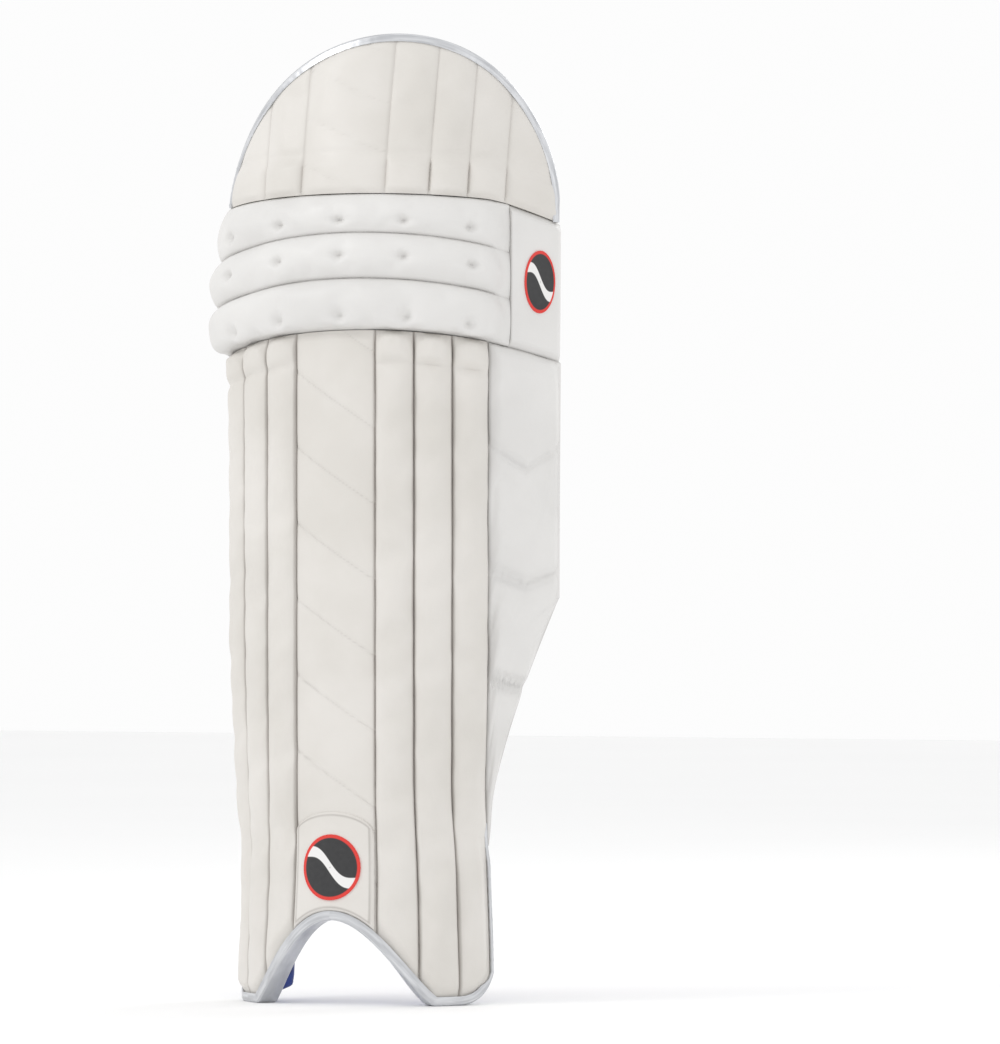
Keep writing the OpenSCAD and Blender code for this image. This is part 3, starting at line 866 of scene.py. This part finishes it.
def build_side_panel():
    """Smooth panel beside the knee roll, above the wing."""
    s, v = sheet(span(ROLL_END + 0.2 * MM, WING_EDGE, 28), 60)
    bottom, top = roll_seam(0, s) - 0.2 * MM, roll_seam(3, s) - 0.1 * np.maximum(0, s - 125 * MM)
    z = bottom + (top - bottom) * v
    share = (s - ROLL_END) / (WING_EDGE - ROLL_END)
    full = dome((WING_EDGE + 0.8 * MM - s) / (9 * MM))
    full *= 0.5 + 0.5 * smooth(np.minimum(top - z, z - bottom) / (5 * MM))
    rise = 8 * MM + 2.5 * MM * puff(0.1 + 0.8 * share) * puff(0.06 + 0.9 * v, 0.5)
    edge = np.minimum(np.minimum(share, 1) * 42, np.minimum(v, 1 - v) * 100)
    front, back = -5 * MM + rise * full, -5 * MM - 9 * MM * full
    pad("knee_side_panel", s, z, front, back, "roll", 0.6, seam=bell(edge, 1.2))


def build_hat():
    """Seven channels of the top hat: one swelling sheet, cut at its seams."""
    per = 16
    sections = [span(a, b, per)[:-1] for a, b in zip(HAT_SEAMS, HAT_SEAMS[1:])]
    s_line = np.concatenate(sections + [[HAT_END]])
    s, v = sheet(s_line, 64)
    bottom = hat_bottom(s)
    top = np.maximum(bottom + 5.5 * MM, hat_top(s) - 1.5 * MM)
    z = bottom + (top - bottom) * v
    share = (np.arange(len(s_line)) % per / per)[:, None] * np.ones_like(z)
    h = z - bottom
    steep = np.gradient(hat_top(s_line), s_line)[:, None]
    inside = (hat_top(s) - z) / np.sqrt(1 + steep**2)
    narrow = np.minimum(1, 34 * MM / (np.gradient(s_line)[:, None] * per))
    cap = smooth((27 * MM - h) / (8 * MM)) * narrow
    n = (2.0 * MM + 2.6 * MM * cap - 1.0 * MM * narrow * bell(h - 29 * MM, 3 * MM)) * puff(share, 0.45)
    n *= 0.35 + 0.65 * rise(h, 0, 5)
    fade = rise(inside, 0, 9)
    n *= fade
    away = off_lines(z + 0.45 * s, 34 * MM)
    centre = (s > HAT_SEAMS[2]) & (s < HAT_SEAMS[3])
    n -= np.where(centre, 0.7 * MM * bell(away, 1.4 * MM) * puff(share, 0.3), 0)
    n += wobble(s, z, 0.4) * puff(share) * fade
    pinned = np.isclose(share, 0) | (v == 0) | (v == 1) | (inside < 6 * MM)
    points = billow(place(s, z, n), pinned, pressure=3, spare=0.015, cap=1.8 * MM, soft=10)
    seam = np.maximum(0.55 * seam_lines(share, 32), np.where(centre, 0.4 * bell(away, 0.8 * MM), 0))
    # Painted shade in the gap above the knee roll.
    seam = np.maximum(seam, 0.35 * bell(h, 2 * MM))
    for k in range(7):
        cut = slice(k * per, (k + 1) * per + 1)
        pad(f"hat_channel_{k + 1}", s, z, points, COVER_BACK, "front", 0.5, bend_hat, cut, seam=seam)


def bend_hat(obj):
    """Bakes the piece's placement into its mesh, where it stays."""
    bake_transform(obj)


def build_wing():
    inner = HALF_W + 1.2 * MM
    s, v = sheet(span(inner, WING_EDGE - 0.4 * MM, 40), 150)
    bottom, top = wing_bottom(s), roll_seam(0, s) - 0.4 * MM
    z = bottom + (top - bottom) * v
    share = (s - inner) / (WING_EDGE - inner)
    edge = np.minimum(np.minimum(WING_EDGE - s, z - bottom), np.minimum(top - z, s - inner))
    n = -1.5 * MM + 5.5 * MM * smooth((edge + 1 * MM) / (9 * MM)) ** 0.6
    for z0, dip in ((392 * MM, 16 * MM), (305 * MM, 10 * MM), (228 * MM, 6 * MM)):
        line = z0 - dip * (1 - np.abs(2 * share - 1))
        n -= 2.6 * MM * bell(z - line, 3.5 * MM) * puff(0.1 + 0.8 * share, 0.5)
    n += wobble(s, z, 0.6) * rise(edge, 0, 8)
    pinned = (v == 0) | (v == 1) | (s <= inner + 1e-6) | (s >= WING_EDGE - 0.5 * MM)
    points = billow(place(s, z, n), pinned, pressure=3, cap=2.5 * MM, soft=12)
    seam = bell(edge, 1.5 * MM)
    pad("wing_panel", s, z, points, -4.2 * MM, "roll", 0.7, bend_wing, name="wing_cover", seam=seam)
    n = -5.2 * MM - 2.6 * MM * rise(edge, 0, 7) ** 0.6 + wobble(s, z, 0.3) * rise(edge, 0, 9)
    pad("wing_lining", s, z, -4.4 * MM, n, "lining", 0.5, bend_wing, seam_back=seam)


def bend_wing(obj):
    """Bakes the piece's placement into its mesh, where it stays."""
    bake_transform(obj)


# ------------------------------------------------------ inside of the pad
def build_bolster(side):
    """Long soft bolster of spacer mesh with a rounded foot."""
    s_line = side * (CHANNEL_HALF + BOLSTER_EDGE) / 2 + span(-0.5, 0.5, 28) * 62.4 * MM
    s, z = sheet(s_line, 120, INSIDE_FOOT, INSIDE_TOP)
    u = (s - s_line[0]) / (s_line[-1] - s_line[0])
    foot = z - INSIDE_FOOT - 12 * MM * (2 * u - 1) ** 2
    cap = dome(foot / (26 * MM))
    depth = 25 * MM * puff(u, 0.62) * cap * (0.25 + 0.75 * dome((INSIDE_TOP - z) / (16 * MM)))
    depth += wobble(s, z, 0.6) * puff(u) * cap
    pinned = (u <= 0) | (u >= 1) | (z <= INSIDE_FOOT) | (z >= INSIDE_TOP - 0.1 * MM) | (foot < 1 * MM)
    points = billow(place(s, z, LINING_BACK - depth), pinned, cap=3 * MM, inside=True, soft=14)
    edge = np.minimum(np.minimum(u, 1 - u) * 62 * MM, np.maximum(0, foot))
    seam = bell(edge, 1.5 * MM)
    pad("side_bolster_" + SIDES[side], s, z, LINING_FRONT, points, "mesh", 0.8, seam_back=seam)


def build_channel_lining():
    s, z = sheet(span(-CHANNEL_HALF, CHANNEL_HALF, 24), 120, INSIDE_FOOT, INSIDE_TOP)
    n = LINING_BACK - 0.8 * MM * puff((s + CHANNEL_HALF) / (2 * CHANNEL_HALF)) - wobble(s, z, 0.4)
    pad("channel_lining", s, z, LINING_FRONT, n, "channel_print", 0.3)


def build_margin(side):
    """Smooth strip beside the bolsters, with a fold, wrapped round the side edge."""
    flat, round_edge = span(91.3, 110.6, 19), np.arange(7)
    out = np.concatenate([flat, [111.5, 112.1, 112.4, 112.5, 112.5, 112.5, 112.3]]) * MM
    shell = np.concatenate([flat, [110.9, 111.1, 111.2, 111.2, 111.2, 111.2, 111.2]]) * MM
    wrap = -1 if side < 0 else -9
    outer = np.interp(round_edge, (0, 1, 2, 6), (-18.6, -17.6, -16, wrap)) * MM
    inner = np.interp(round_edge, (0, 1, 2, 6), (-16.8, -16.4, -15, wrap)) * MM
    inner = np.concatenate([np.full(20, LINING_FRONT), inner])
    fold = 1.5 * puff((out - 91 * MM) / (9 * MM)) + 1.0 * puff((out - 100 * MM) / (11 * MM), 0.5)
    outer = np.concatenate([(LINING_BACK - fold * MM)[:20], outer])
    if side < 0:
        out, shell, inner, outer = (a[::-1] for a in (-out, -shell, inner, outer))
    s, z = sheet(out, 150, 127.5 * MM, 445 * MM)
    n = outer[:, None] + wobble(s, z, 0.4) * puff((np.abs(s) - 91 * MM) / (20 * MM))
    front = place(shell[:, None], z, inner[:, None])
    # Mask for painted shade along the fold.
    seam = bell(np.abs(s) - 100 * MM, 1 * MM)
    pad("margin_" + SIDES[side], s, z, front, n, "lining", 0.3, seam_back=seam)


def build_instep(part, s0, s1, channels):
    """Glossy channelled lining over the instep, cut to the arch."""
    per = 18 if channels > 1 else 36
    s, v = sheet(span(s0, s1, per * channels), 80)
    bottom = shin_bottom(s)
    z = bottom + (INSTEP_TOP - bottom) * v
    share = (np.arange(len(s)) % per / per)[:, None] * np.ones_like(z)
    thin, gap = rim(s, z), rim_gap(s, z)
    swell = puff(share, 0.6) * (0.25 + 0.75 * smooth((INSTEP_TOP - z) / (10 * MM)))
    swell *= rise(gap, 5, 7)
    n = -19.6 * MM - 6.6 * MM * swell + wobble(s, z, 0.6) * puff(share) * rise(gap, 8, 10)
    turned = np.abs(s) > EDGE_S - 0.1 * MM
    n = n + (RIM_BACK - n) * thin + 2.3 * MM * turned * (1 - thin)
    pinned = np.isclose(share, 0) | (v == 0) | (v == 1) | (gap < 7.5 * MM)
    points = billow(place(s, z, n), pinned, cap=2.4 * MM, inside=True, soft=8)
    front = LINING_FRONT + (RIM_FRONT - LINING_FRONT) * np.maximum(thin, turned)
    # Mask for painted shade along the channels' seams.
    seam = seam_lines(share, 28, 2.4)
    pad("instep_lining_" + part, s, z, front, points, "blue", 0.6, seam_back=seam)


def build_instep_stitches():
    """White thread down one seam of the instep lining."""
    s0 = CHANNEL_HALF + (EDGE_S - CHANNEL_HALF) / 3 + 1.5 * MM
    z = span(float(shin_bottom(s0)) + 9 * MM, 122 * MM, 49)
    line = place(s0, z, -23.8 * MM + 11.8 * MM * rim(s0, z))
    normals = place(s0, z, -30 * MM) - place(s0, z, -20 * MM)
    stitch_line("instep_stitches_1", line, normals, "shin", length=2.2 * MM, gap=1.6 * MM)


def build_cushions():
    """Three soft sections behind the knee, cut from one swelling sheet."""
    cuts = [-EDGE_S, -CUSHION_EDGE, CUSHION_EDGE, EDGE_S]
    pers = (34, 32, 34)
    sections = [span(a, b, per)[:-1] for a, b, per in zip(cuts, cuts[1:], pers)]
    s_line = np.concatenate(sections + [[EDGE_S]])
    starts = np.cumsum((0,) + pers)
    share = np.interp(np.arange(len(s_line)), starts, np.arange(4.0)) % 1
    s, v = sheet(s_line, 52)
    tall = hat_bottom(s) + 3 * MM - CUSHION_FOOT
    z = CUSHION_FOOT + tall * v
    share = share[:, None] * np.ones_like(z)
    out = np.abs(s)
    body = np.where(out < CUSHION_EDGE, share, (BOLSTER_EDGE - out) / (BOLSTER_EDGE - CUSHION_EDGE))
    power = np.where((out > CUSHION_EDGE) & (body < 0.5), 0.75, 0.5)
    depth = 17 * MM * puff(body, power) * puff(0.01 + 0.98 * v, 0.45)
    depth -= 1.6 * MM * bell(v - 0.13, 0.04) * puff(body) * (1 + np.sin(s * 420)) / 2
    depth += wobble(s, z, 1.1) * puff(body) * puff(v)
    fringe = 0.6 * MM + 3.0 * MM * smooth((EDGE_S - out) / (6 * MM))
    depth = np.maximum(depth, fringe * (out > BOLSTER_EDGE - 6 * MM))
    pinned = np.isclose(share, 0) | (out > BOLSTER_EDGE) | (v <= 0) | (v >= 1)
    points = place(s, z, LINING_BACK + 1 * MM - depth)
    points = billow(points, pinned, spare=0.04, cap=4 * MM, inside=True, soft=5)
    edge = np.minimum(np.minimum(share, 1 - share) * 60 * MM, np.minimum(v, 1 - v) * tall)
    wrap = np.where(s < 0, -1 * MM, -9 * MM)
    turned = out > EDGE_S - 0.1 * MM
    marks = {
        "seam_back": bell(edge, 1.5 * MM),
        "uv_front": joined(s + np.sign(s) * turned * (wrap - LINING_BACK), z),
    }
    for k, part in enumerate(("left", "centre", "right")):
        cut = slice(starts[k], starts[k + 1] + 1)
        front = np.where(turned, wrap, LINING_FRONT)
        pad("knee_cushion_" + part, s, z, front, points, "cushion_print", 0.85, cut=cut, **marks)


def build_hat_lining():
    s, v = sheet(span(0.7 * MM - HALF_W, HAT_END, 120), 40)
    bottom = hat_bottom(s)
    z = bottom + (np.maximum(bottom + 6 * MM, hat_top(s) - 1 * MM) - bottom) * v
    swell = puff((s + HALF_W) / (HAT_END + HALF_W), 0.4) * puff(0.03 + 0.94 * v, 0.5)
    n = HAT_LINING_BACK + 0.8 * MM - 1.2 * MM * swell - wobble(s, z, 0.5) * swell
    pad("hat_lining", s, z, HAT_LINING_FRONT, n, "hat_print", 0.2, bend_hat)


# ------------------------------------------------------------------ bindings
TAPE = [(1, 0), (0.6, 0), (0.25, 0), (0.08, -0.45), (0, -1.4)]  # share of the flange, and mm out


def binding(node, path, front, back, flange, body="shin", tuck=None, look="silver"):
    """Tape folded over an edge. path is (s, z) along it, with the pad on its left side.
    tuck is how far it reaches in at the back, when that differs from the front."""
    thick = 1.1 * MM
    step = unit(np.gradient(path, axis=0))
    inward = np.stack([-step[:, 1], step[:, 0]], -1)
    run = run_along(path)
    crumple = 0.12 * MM * (np.sin(run * 900) + np.sin(run * 1530 + 1))
    sides = {1: (front, flange), -1: (back, flange if tuck is None else tuck)}
    rows = []
    for side, order, skin in ((1, 1, 0), (-1, -1, 0), (-1, 1, thick), (1, -1, thick)):
        base, reach = sides[side]
        for share, dn in TAPE[::order]:
            d = share * reach + (skin if share < 0.2 else 0)
            n = base + side * (dn * MM - skin + crumple * (share > 0.1))
            rows.append(place(path[:, 0] + inward[:, 0] * d, path[:, 1] + inward[:, 1] * d, n))
    ring, count = len(rows), len(path)
    i, j = np.meshgrid(np.arange(count - 1), np.arange(ring), indexing="ij")
    k = (j + 1) % ring
    faces = np.stack([i * ring + j, i * ring + k, (i + 1) * ring + k, (i + 1) * ring + j], -1)
    faces = faces.reshape(-1, 4).tolist()
    for base, turn in ((0, 1), ((count - 1) * ring, -1)):
        for a in range(ring // 2 - 1):
            faces.append([base + a, base + a + 1, base + ring - 2 - a, base + ring - 1 - a][::turn])
    uv = joined(run[:, None], np.arange(ring)[None, :] * 2 * MM)
    obj = make_mesh(node + "_tape", np.stack(rows, 1), faces, uv, sharp=60)
    fix_normals(obj)
    attach(obj, body, (node,), MAT[look])


def resample(path, step=2.2 * MM):
    run = run_along(path)
    want = np.linspace(0, run[-1], max(3, int(run[-1] / step) + 1))
    return np.stack([np.interp(want, run, path[:, 0]), np.interp(want, run, path[:, 1])], -1)


def build_foot_binding(side):
    """Tape along the lobe and up the instep's side."""
    turn = slice(None, None, side)
    s = side * np.linspace(-0.4 * MM, 112.5 * MM, 2000)
    foot = resample(joined(s, foot_z(s)))
    out = np.abs(foot[:, 0])
    front = 3.4 * MM - 1.2 * MM * rise(out, 95, 16)
    flange = 6.5 * MM - 3.5 * MM * rise(out, 103, 9)
    node = "instep_binding_" + SIDES[side]
    binding(node, foot[turn], front[turn], -12.8 * MM, flange[turn], tuck=6.2 * MM)
    z = span(float(foot[-1, 1]) + 0.3 * MM, 127 * MM, 59)
    high = rise(z, 95, 20) * (side > 0)
    up = joined(side * (112.7 * MM - 0.5 * MM * high), z)
    full = rim(side * HALF_W, z)
    front, back, tuck = 2.2 * MM - 1.4 * MM * high, (-8.8 - 4 * full) * MM, (0.6 + 5.4 * full) * MM
    binding("edge_binding_" + SIDES[side], up[turn], front[turn], back[turn], 3 * MM, tuck=tuck[turn])


def build_wing_binding():
    z = span(285 * MM, float(roll_seam(0, WING_EDGE)) - 0.7 * MM, 69)
    binding(
        "wing_binding", joined(WING_EDGE, z), 1.2 * MM, -8.6 * MM, 4.5 * MM, bend_wing,
        look="roll",
    )


def build_hat_piping():
    left, right = HALF_W + 0.8 * MM + HAT_MID, HAT_END + 0.8 * MM - HAT_MID
    s = HAT_MID + right * np.sin(np.linspace(-1, 1, 4000) * np.pi / 2)
    s = np.where(s < HAT_MID, HAT_MID + (s - HAT_MID) * left / right, s)
    path = joined(s, np.maximum(hat_bottom(s) + 1 * MM, hat_top(s) + 1.3 * MM))
    feet = path[[0, -1], :].copy()
    feet[:, 1] = hat_bottom(feet[:, 0]) + 0.5 * MM
    path = resample(np.concatenate([feet[:1], path, feet[1:]]))[::-1]
    binding("hat_piping", path, 1.6 * MM, -14.6 * MM, 5.5 * MM, bend_hat)


# -------------------------------------------------------------------- straps
def root_at(z):
    return place(104 * MM, z, -23.5 * MM)


def edge_y(z):
    return place(-HALF_W - 2 * MM, z, LINING_BACK - 3 * MM)[1] + 2.4 * MM


def strap_path(root, z, t):
    """Middle of the strap's thickness in x and y, for t from 0 at its root to 1 at its tip."""
    tip, edge = -96 * MM + ORIGIN[0], -82 * MM + ORIGIN[0]
    edge_t = (root[0] - edge) / (root[0] - tip)
    x = root[0] + (tip - root[0]) * t
    y = root[1] + (edge_y(z) - root[1]) * clamp01(t / edge_t) + 17 * MM * (1 - (2 * t / edge_t - 1) ** 2)
    return np.stack([x, y], -1)


def strip_faces(path, out, z, lift):
    """Both faces of a strip that follows a path in x and y and is as wide as z."""
    faces = []
    for height in lift:
        z_all, height, _ = np.broadcast_arrays(z, height, path[:, :1])
        xy = path[:, None, :] + out[:, None, :] * height[..., None]
        faces.append(np.concatenate([xy, z_all[..., None]], -1))
    return faces


def strip_normals(path):
    step = unit(np.gradient(path, axis=0))
    return np.stack([step[:, 1], -step[:, 0]], -1)


def strap_mesh(name, root, strap, trim, ends, offset, thick, tip_round, steps):
    """A flat woven strip along the strap's path, its long edges rounded."""
    z0, width = strap[0], strap[1] - trim
    mid = strap_path(root, z0, span(*ends, steps))
    out, run = strip_normals(mid), run_along(mid)
    across = np.sin(span(-1, 1, 24) * np.pi / 2)
    half = width / 2 - tip_round + tip_round * dome((run[-1] - run) / tip_round)
    v = across[None, :] * half[:, None]
    lift = offset + 0.35 * MM * (np.sin(run * 70 + 1)[:, None] * np.sin(v * 90 + run[:, None] * 25))
    h = thick / 2 * (1 - np.abs(across) ** 8)[None, :] + 0.15 * MM
    uv = joined(run[:, None] + ends[0] * 200 * MM, z0 + v)
    edge = bell(half[:, None] - np.abs(v), 1.2 * MM)
    return cover_mesh(name, *strip_faces(mid, out, z0 + v, (lift + h, lift - h)), uv, edge, edge), mid, out


def stitch_line(name, points, normals, body, length=3.2 * MM, gap=1.8 * MM, thick=0.42 * MM):
    """Short thread stitches that follow a line of points on a surface."""
    run, sides = run_along(points), 6
    turns = math.tau * np.arange(sides)[:, None] / sides
    verts, faces = [], []
    for start in np.arange(gap / 2, run[-1] - length, length + gap):
        ts = start + length * np.array([0, 0.12, 0.5, 0.88, 1.0])
        size = np.array([0.15, 0.85, 1.0, 0.85, 0.15]) * thick
        middle = np.stack([np.interp(ts, run, points[:, k]) for k in range(3)], -1)
        up = unit(np.stack([np.interp(ts, run, normals[:, k]) for k in range(3)], -1))
        side = unit(np.cross(np.gradient(middle, axis=0), up))
        base = len(verts)
        for k in range(5):
            ring = np.cos(turns) * side[k] + (np.sin(turns) + 0.3) * up[k]
            verts.extend(middle[k] + size[k] * ring)
        for k in range(4):
            for q in range(sides):
                low, after = base + k * sides, (q + 1) % sides
                faces.append((low + q, low + after, low + sides + after, low + sides + q))
        faces.append(tuple(range(base + sides - 1, base - 1, -1)))
        faces.append(tuple(range(base + 4 * sides, base + 5 * sides)))
    obj = make_mesh(name, verts, faces, np.zeros((len(verts), 2)), sharp=80)
    fix_normals(obj)
    attach(obj, body, material=MAT["thread"])


def build_strap(kind, strap, root, other, first, tab_first, tab, tip_round):
    """A strap with its hook tab, and the stitches that hold the tab. first and tab_first are
    where they begin, from 0 at the strap's root to 1 at its tip."""
    z0, width = strap

    def bend(obj):
        if other:
            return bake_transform(obj)
        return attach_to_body(obj, kind + "_strap")

    obj, *_ = strap_mesh(kind + "_strap_webbing", root, strap, 0, (first, 1), 0, 2.4 * MM, tip_round, 120)
    web = webbing(kind + "_webbing", z0 - width / 2, width)
    attach(obj, bend, (kind + "_strap",), web)
    obj, mid, out = strap_mesh(
        kind + "_hook_tape", root, strap, 3 * MM, (tab_first, 1.012), 2.3 * MM, 1.7 * MM, tip_round, 80
    )
    attach(obj, bend, (kind + "_hook_tab",), MAT[tab])
    half = width / 2 - 4 * MM
    out = np.concatenate([out, np.zeros((len(out), 1))], -1)
    along, cross = np.arange(2, len(mid) - 14), np.full(12, 2)
    lines = ((along, z0 + half), (along, z0 - half), (cross, span(z0 - half, z0 + half, 11)))
    for k, (index, z) in enumerate(lines):
        line = joined(mid[index, 0], mid[index, 1], z) + out[index] * 3.2 * MM
        stitch_line(f"{kind}_stitches_{k + 1}", line, out[index], bend)


def sewn_patch(name, node, s0, s1, strap, material, slot, top):
    """A flat patch sewn on the lining."""
    z0, width = strap
    s, z = sheet(span(s0, s1, 16), 40, z0 - width / 2, z0 + width / 2)
    edge = np.minimum(np.minimum(s - s0, s1 - s), width / 2 - np.abs(z - z0))
    n = top + 0.8 * MM * (1 - rise(edge, 0, 1.5))
    faces = place(s, z, -18.5 * MM), place(s, z, n)
    obj = cover_mesh(name, *faces, joined(s, z), seam_back=bell(edge, 1 * MM))
    attach(obj, "shin", (node,), material)


def loop_end(name, nodes, start, centre, material, body):
    """Webbing that leaves the pad, turns round a bar and comes back to where it started."""
    z0, width, bar, thick = ANKLE_STRAP[0], ANKLE_WEB, 4.6 * MM, 1.8 * MM
    to = centre - start
    turn = math.atan2(to[1], to[0]) + np.linspace(-0.5, 0.5, 24) * math.radians(200)
    arc = np.stack([np.cos(turn), np.sin(turn)], -1) * bar + centre
    a = np.linspace(0, 1, 12)[:-1, None]
    aside = np.array([-to[1], to[0]]) / np.linalg.norm(to) * 1.1 * MM
    first, last = start - aside, start + aside
    if np.dot(arc[0] - arc[-1], aside) > 0:
        first, last = last, first
    path = np.concatenate([first + (arc[0] - first) * a, arc, last + (arc[-1] - last) * a[::-1]])
    across = np.sin(span(-1, 1, 20) * np.pi / 2)
    v = z0 + across * width / 2
    h = thick / 2 * (1 - np.abs(across) ** 8) + 0.15 * MM
    uv = joined(run_along(path)[:, None], v[None, :])
    obj = cover_mesh(name, *strip_faces(path, strip_normals(path), v[None, :], (h, -h)), uv)
    attach(obj, body, nodes, material)


def build_ring(near, far):
    """Moulded ring: a rounded rectangular frame round one slot, for the webbing."""
    z0, bar, thick, round_r = ANKLE_STRAP[0], 6 * MM, 3.5 * MM, 3 * MM
    length = float(np.linalg.norm(far - near))
    ex = np.array([*((far - near) / length), 0.0])
    ey, ez = np.array([-ex[1], ex[0], 0.0]), np.array([0, 0, 1.0])
    half_l, half_h = length / 2, (ANKLE_WEB + 1 * MM + bar) / 2
    angles = np.radians(np.add.outer((0, 90, 180, 270), span(0, 90, 8)).ravel())
    out = np.stack([np.cos(angles), np.sin(angles)], -1)
    corner = np.repeat([(1, 1), (-1, 1), (-1, -1), (1, -1)], 9, axis=0)
    path = corner * (half_l - round_r, half_h - round_r) + out * round_r
    points = []
    for p, d in zip(path, out):
        for a in span(0, math.tau, 16)[:-1]:
            c, q = math.cos(a), math.sin(a)
            x, z = p + d * math.copysign(abs(c) ** 0.6, c) * bar / 2
            y = math.copysign(abs(q) ** 0.6, q) * thick / 2
            points.append(np.array([*near, z0]) + ex * (x + half_l) + ez * z + ey * y)
    n, m = len(path), 16
    faces = [(i * m + j, i * m + (j + 1) % m, (i + 1) % n * m + (j + 1) % m, (i + 1) % n * m + j)
             for i in range(n) for j in range(m)]
    obj = make_mesh("ankle_ring_frame", points, faces, np.zeros((len(points), 2)), sharp=70)
    attach(obj, "ankle_ring", ("ankle_ring",), MAT["ring"])


def build_straps():
    near = place(102 * MM, ANKLE_STRAP[0], -29 * MM)[:2]
    far = near + np.array([-22, 6]) * MM
    build_strap("knee", KNEE_STRAP, root_at(KNEE_STRAP[0]), "shin", 0.0, 20 / 24, "hook", 5 * MM)
    build_strap("calf", CALF_STRAP, root_at(CALF_STRAP[0]), "shin", 0.0, 10 / 24, "calf_tab", 12 * MM)
    build_strap("ankle", ANKLE_STRAP, far, None, 3 / 24, 17 / 24, "hook", 14 * MM)
    for kind, strap in (("knee", KNEE_STRAP), ("calf", CALF_STRAP), ("ankle", ANKLE_STRAP)):
        if kind != "ankle":
            web = webbing(kind + "_root_webbing", strap[0] - strap[1] / 2, strap[1])
            root = kind + "_root_patch", kind + "_strap_root"
            sewn_patch(*root, 92 * MM, 104 * MM, strap, web, "webbing", -21.5 * MM)
        tape = kind + "_loop_tape", kind + "_loop_patch"
        sewn_patch(*tape, -110 * MM, -94 * MM, strap, MAT["loop"], "loop_tape", -20.6 * MM)
    web = webbing("ankle_root_webbing", 135 * MM, ANKLE_WEB)
    start = place(97 * MM, ANKLE_STRAP[0], -20.5 * MM)[:2]
    loop_end("ankle_root_loop", ("ankle_root_tab",), start, near, web, "shin")
    web = webbing("ankle_turn_webbing", 135 * MM, ANKLE_WEB)
    start = strap_path(far, ANKLE_STRAP[0], 3.1 / 24)
    loop_end("ankle_turned_end", (), start, far, web, "ankle_strap")
    build_ring(near, far)


# ----------------------------------------------------------- put it together
def build_pad():
    for side in SIDES:
        build_canes(side)
    build_centre_panel()
    build_badge_patch()
    emblem("badge_emblem", 0.0, 97 * MM, 20 * MM, 23 * MM, 5.9 * MM, "shin")
    build_knee_roll()
    build_side_panel()
    emblem("side_panel_emblem", 149 * MM, 507 * MM, 12 * MM, 22 * MM, 5.6 * MM, "shin")
    build_hat()
    build_wing()
    for side in SIDES:
        build_bolster(side)
        build_margin(side)
    build_channel_lining()
    build_instep("left", -EDGE_S, -CHANNEL_HALF - 0.3 * MM, 3)
    build_instep("centre", -CHANNEL_HALF, CHANNEL_HALF, 1)
    build_instep("right", CHANNEL_HALF + 0.3 * MM, EDGE_S, 3)
    build_cushions()
    build_hat_lining()
    emblem("hat_emblem", 42 * MM, 612 * MM, 20 * MM, 28 * MM, -15.2 * MM, bend_hat, out=-1)
    build_instep_stitches()
    build_foot_binding(1)
    build_foot_binding(-1)
    build_wing_binding()
    build_hat_piping()
    build_straps()
    for name in ("shin_board", "knee_board", "hat_board", "wing_board", "cane_slats"):
        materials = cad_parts[name].data.materials
        materials.clear()
        materials.append(MAT["cane" if name == "cane_slats" else "foam"])


# ------------------------------------------------------------ light and view
LENS_MM, VIEW_DISTANCE, VIEW_TURN = 306.9, 6, math.radians(22)
VIEW_HEIGHT, CAMERA_SHIFT = 0.3385, 0.085


def build_stage():
    sh = Shader("floor", roughness=0.7, specular=0.2)
    sh.colour(sh.mix(sh.noise(2, 3), (0.93, 0.93, 0.93), (0.96, 0.96, 0.96)))
    bpy.ops.mesh.primitive_plane_add(size=14, location=(0, 0, 0))
    floor = bpy.context.object
    floor.name = "floor"
    floor.data.materials.append(sh.mat)
    world = bpy.data.worlds.new("studio")
    bpy.context.scene.world = world
    world.use_nodes = True
    background = world.node_tree.nodes["Background"]
    background.inputs["Color"].default_value = (1.0, 1.0, 1.0, 1)
    background.inputs["Strength"].default_value = 0.98
    bpy.context.scene.view_settings.view_transform = "Standard"
    target = Vector((0, 0, 0.35))
    for name, where, size, power in (
        ("key", (-1.5, -1.7, 1.9), 0.9, 13),
        ("fill", (2.4, -0.9, 1.0), 1.4, 2),
        ("rim", (0.9, 2.2, 1.5), 0.9, 9),
    ):
        light = bpy.data.lights.new(name, "AREA")
        light.shape, light.size, light.energy = "SQUARE", size, power
        obj = bpy.data.objects.new(name, light)
        bpy.context.scene.collection.objects.link(obj)
        obj.location = where
        obj.rotation_euler = (target - obj.location).to_track_quat("-Z", "Y").to_euler()


def build_camera():
    cam = bpy.data.cameras.new("camera")
    cam.lens, cam.sensor_width, cam.sensor_fit = LENS_MM, 36, "HORIZONTAL"
    obj = bpy.data.objects.new("camera", cam)
    bpy.context.scene.collection.objects.link(obj)
    ahead = Vector((-math.sin(VIEW_TURN), math.cos(VIEW_TURN), 0))
    across = Vector((math.cos(VIEW_TURN), math.sin(VIEW_TURN), 0))
    obj.location = Vector((0, 0, VIEW_HEIGHT)) + across * CAMERA_SHIFT - ahead * VIEW_DISTANCE
    obj.rotation_euler = ahead.to_track_quat("-Z", "Y").to_euler()
    bpy.context.scene.camera = obj


build_pad()
build_stage()
build_camera()
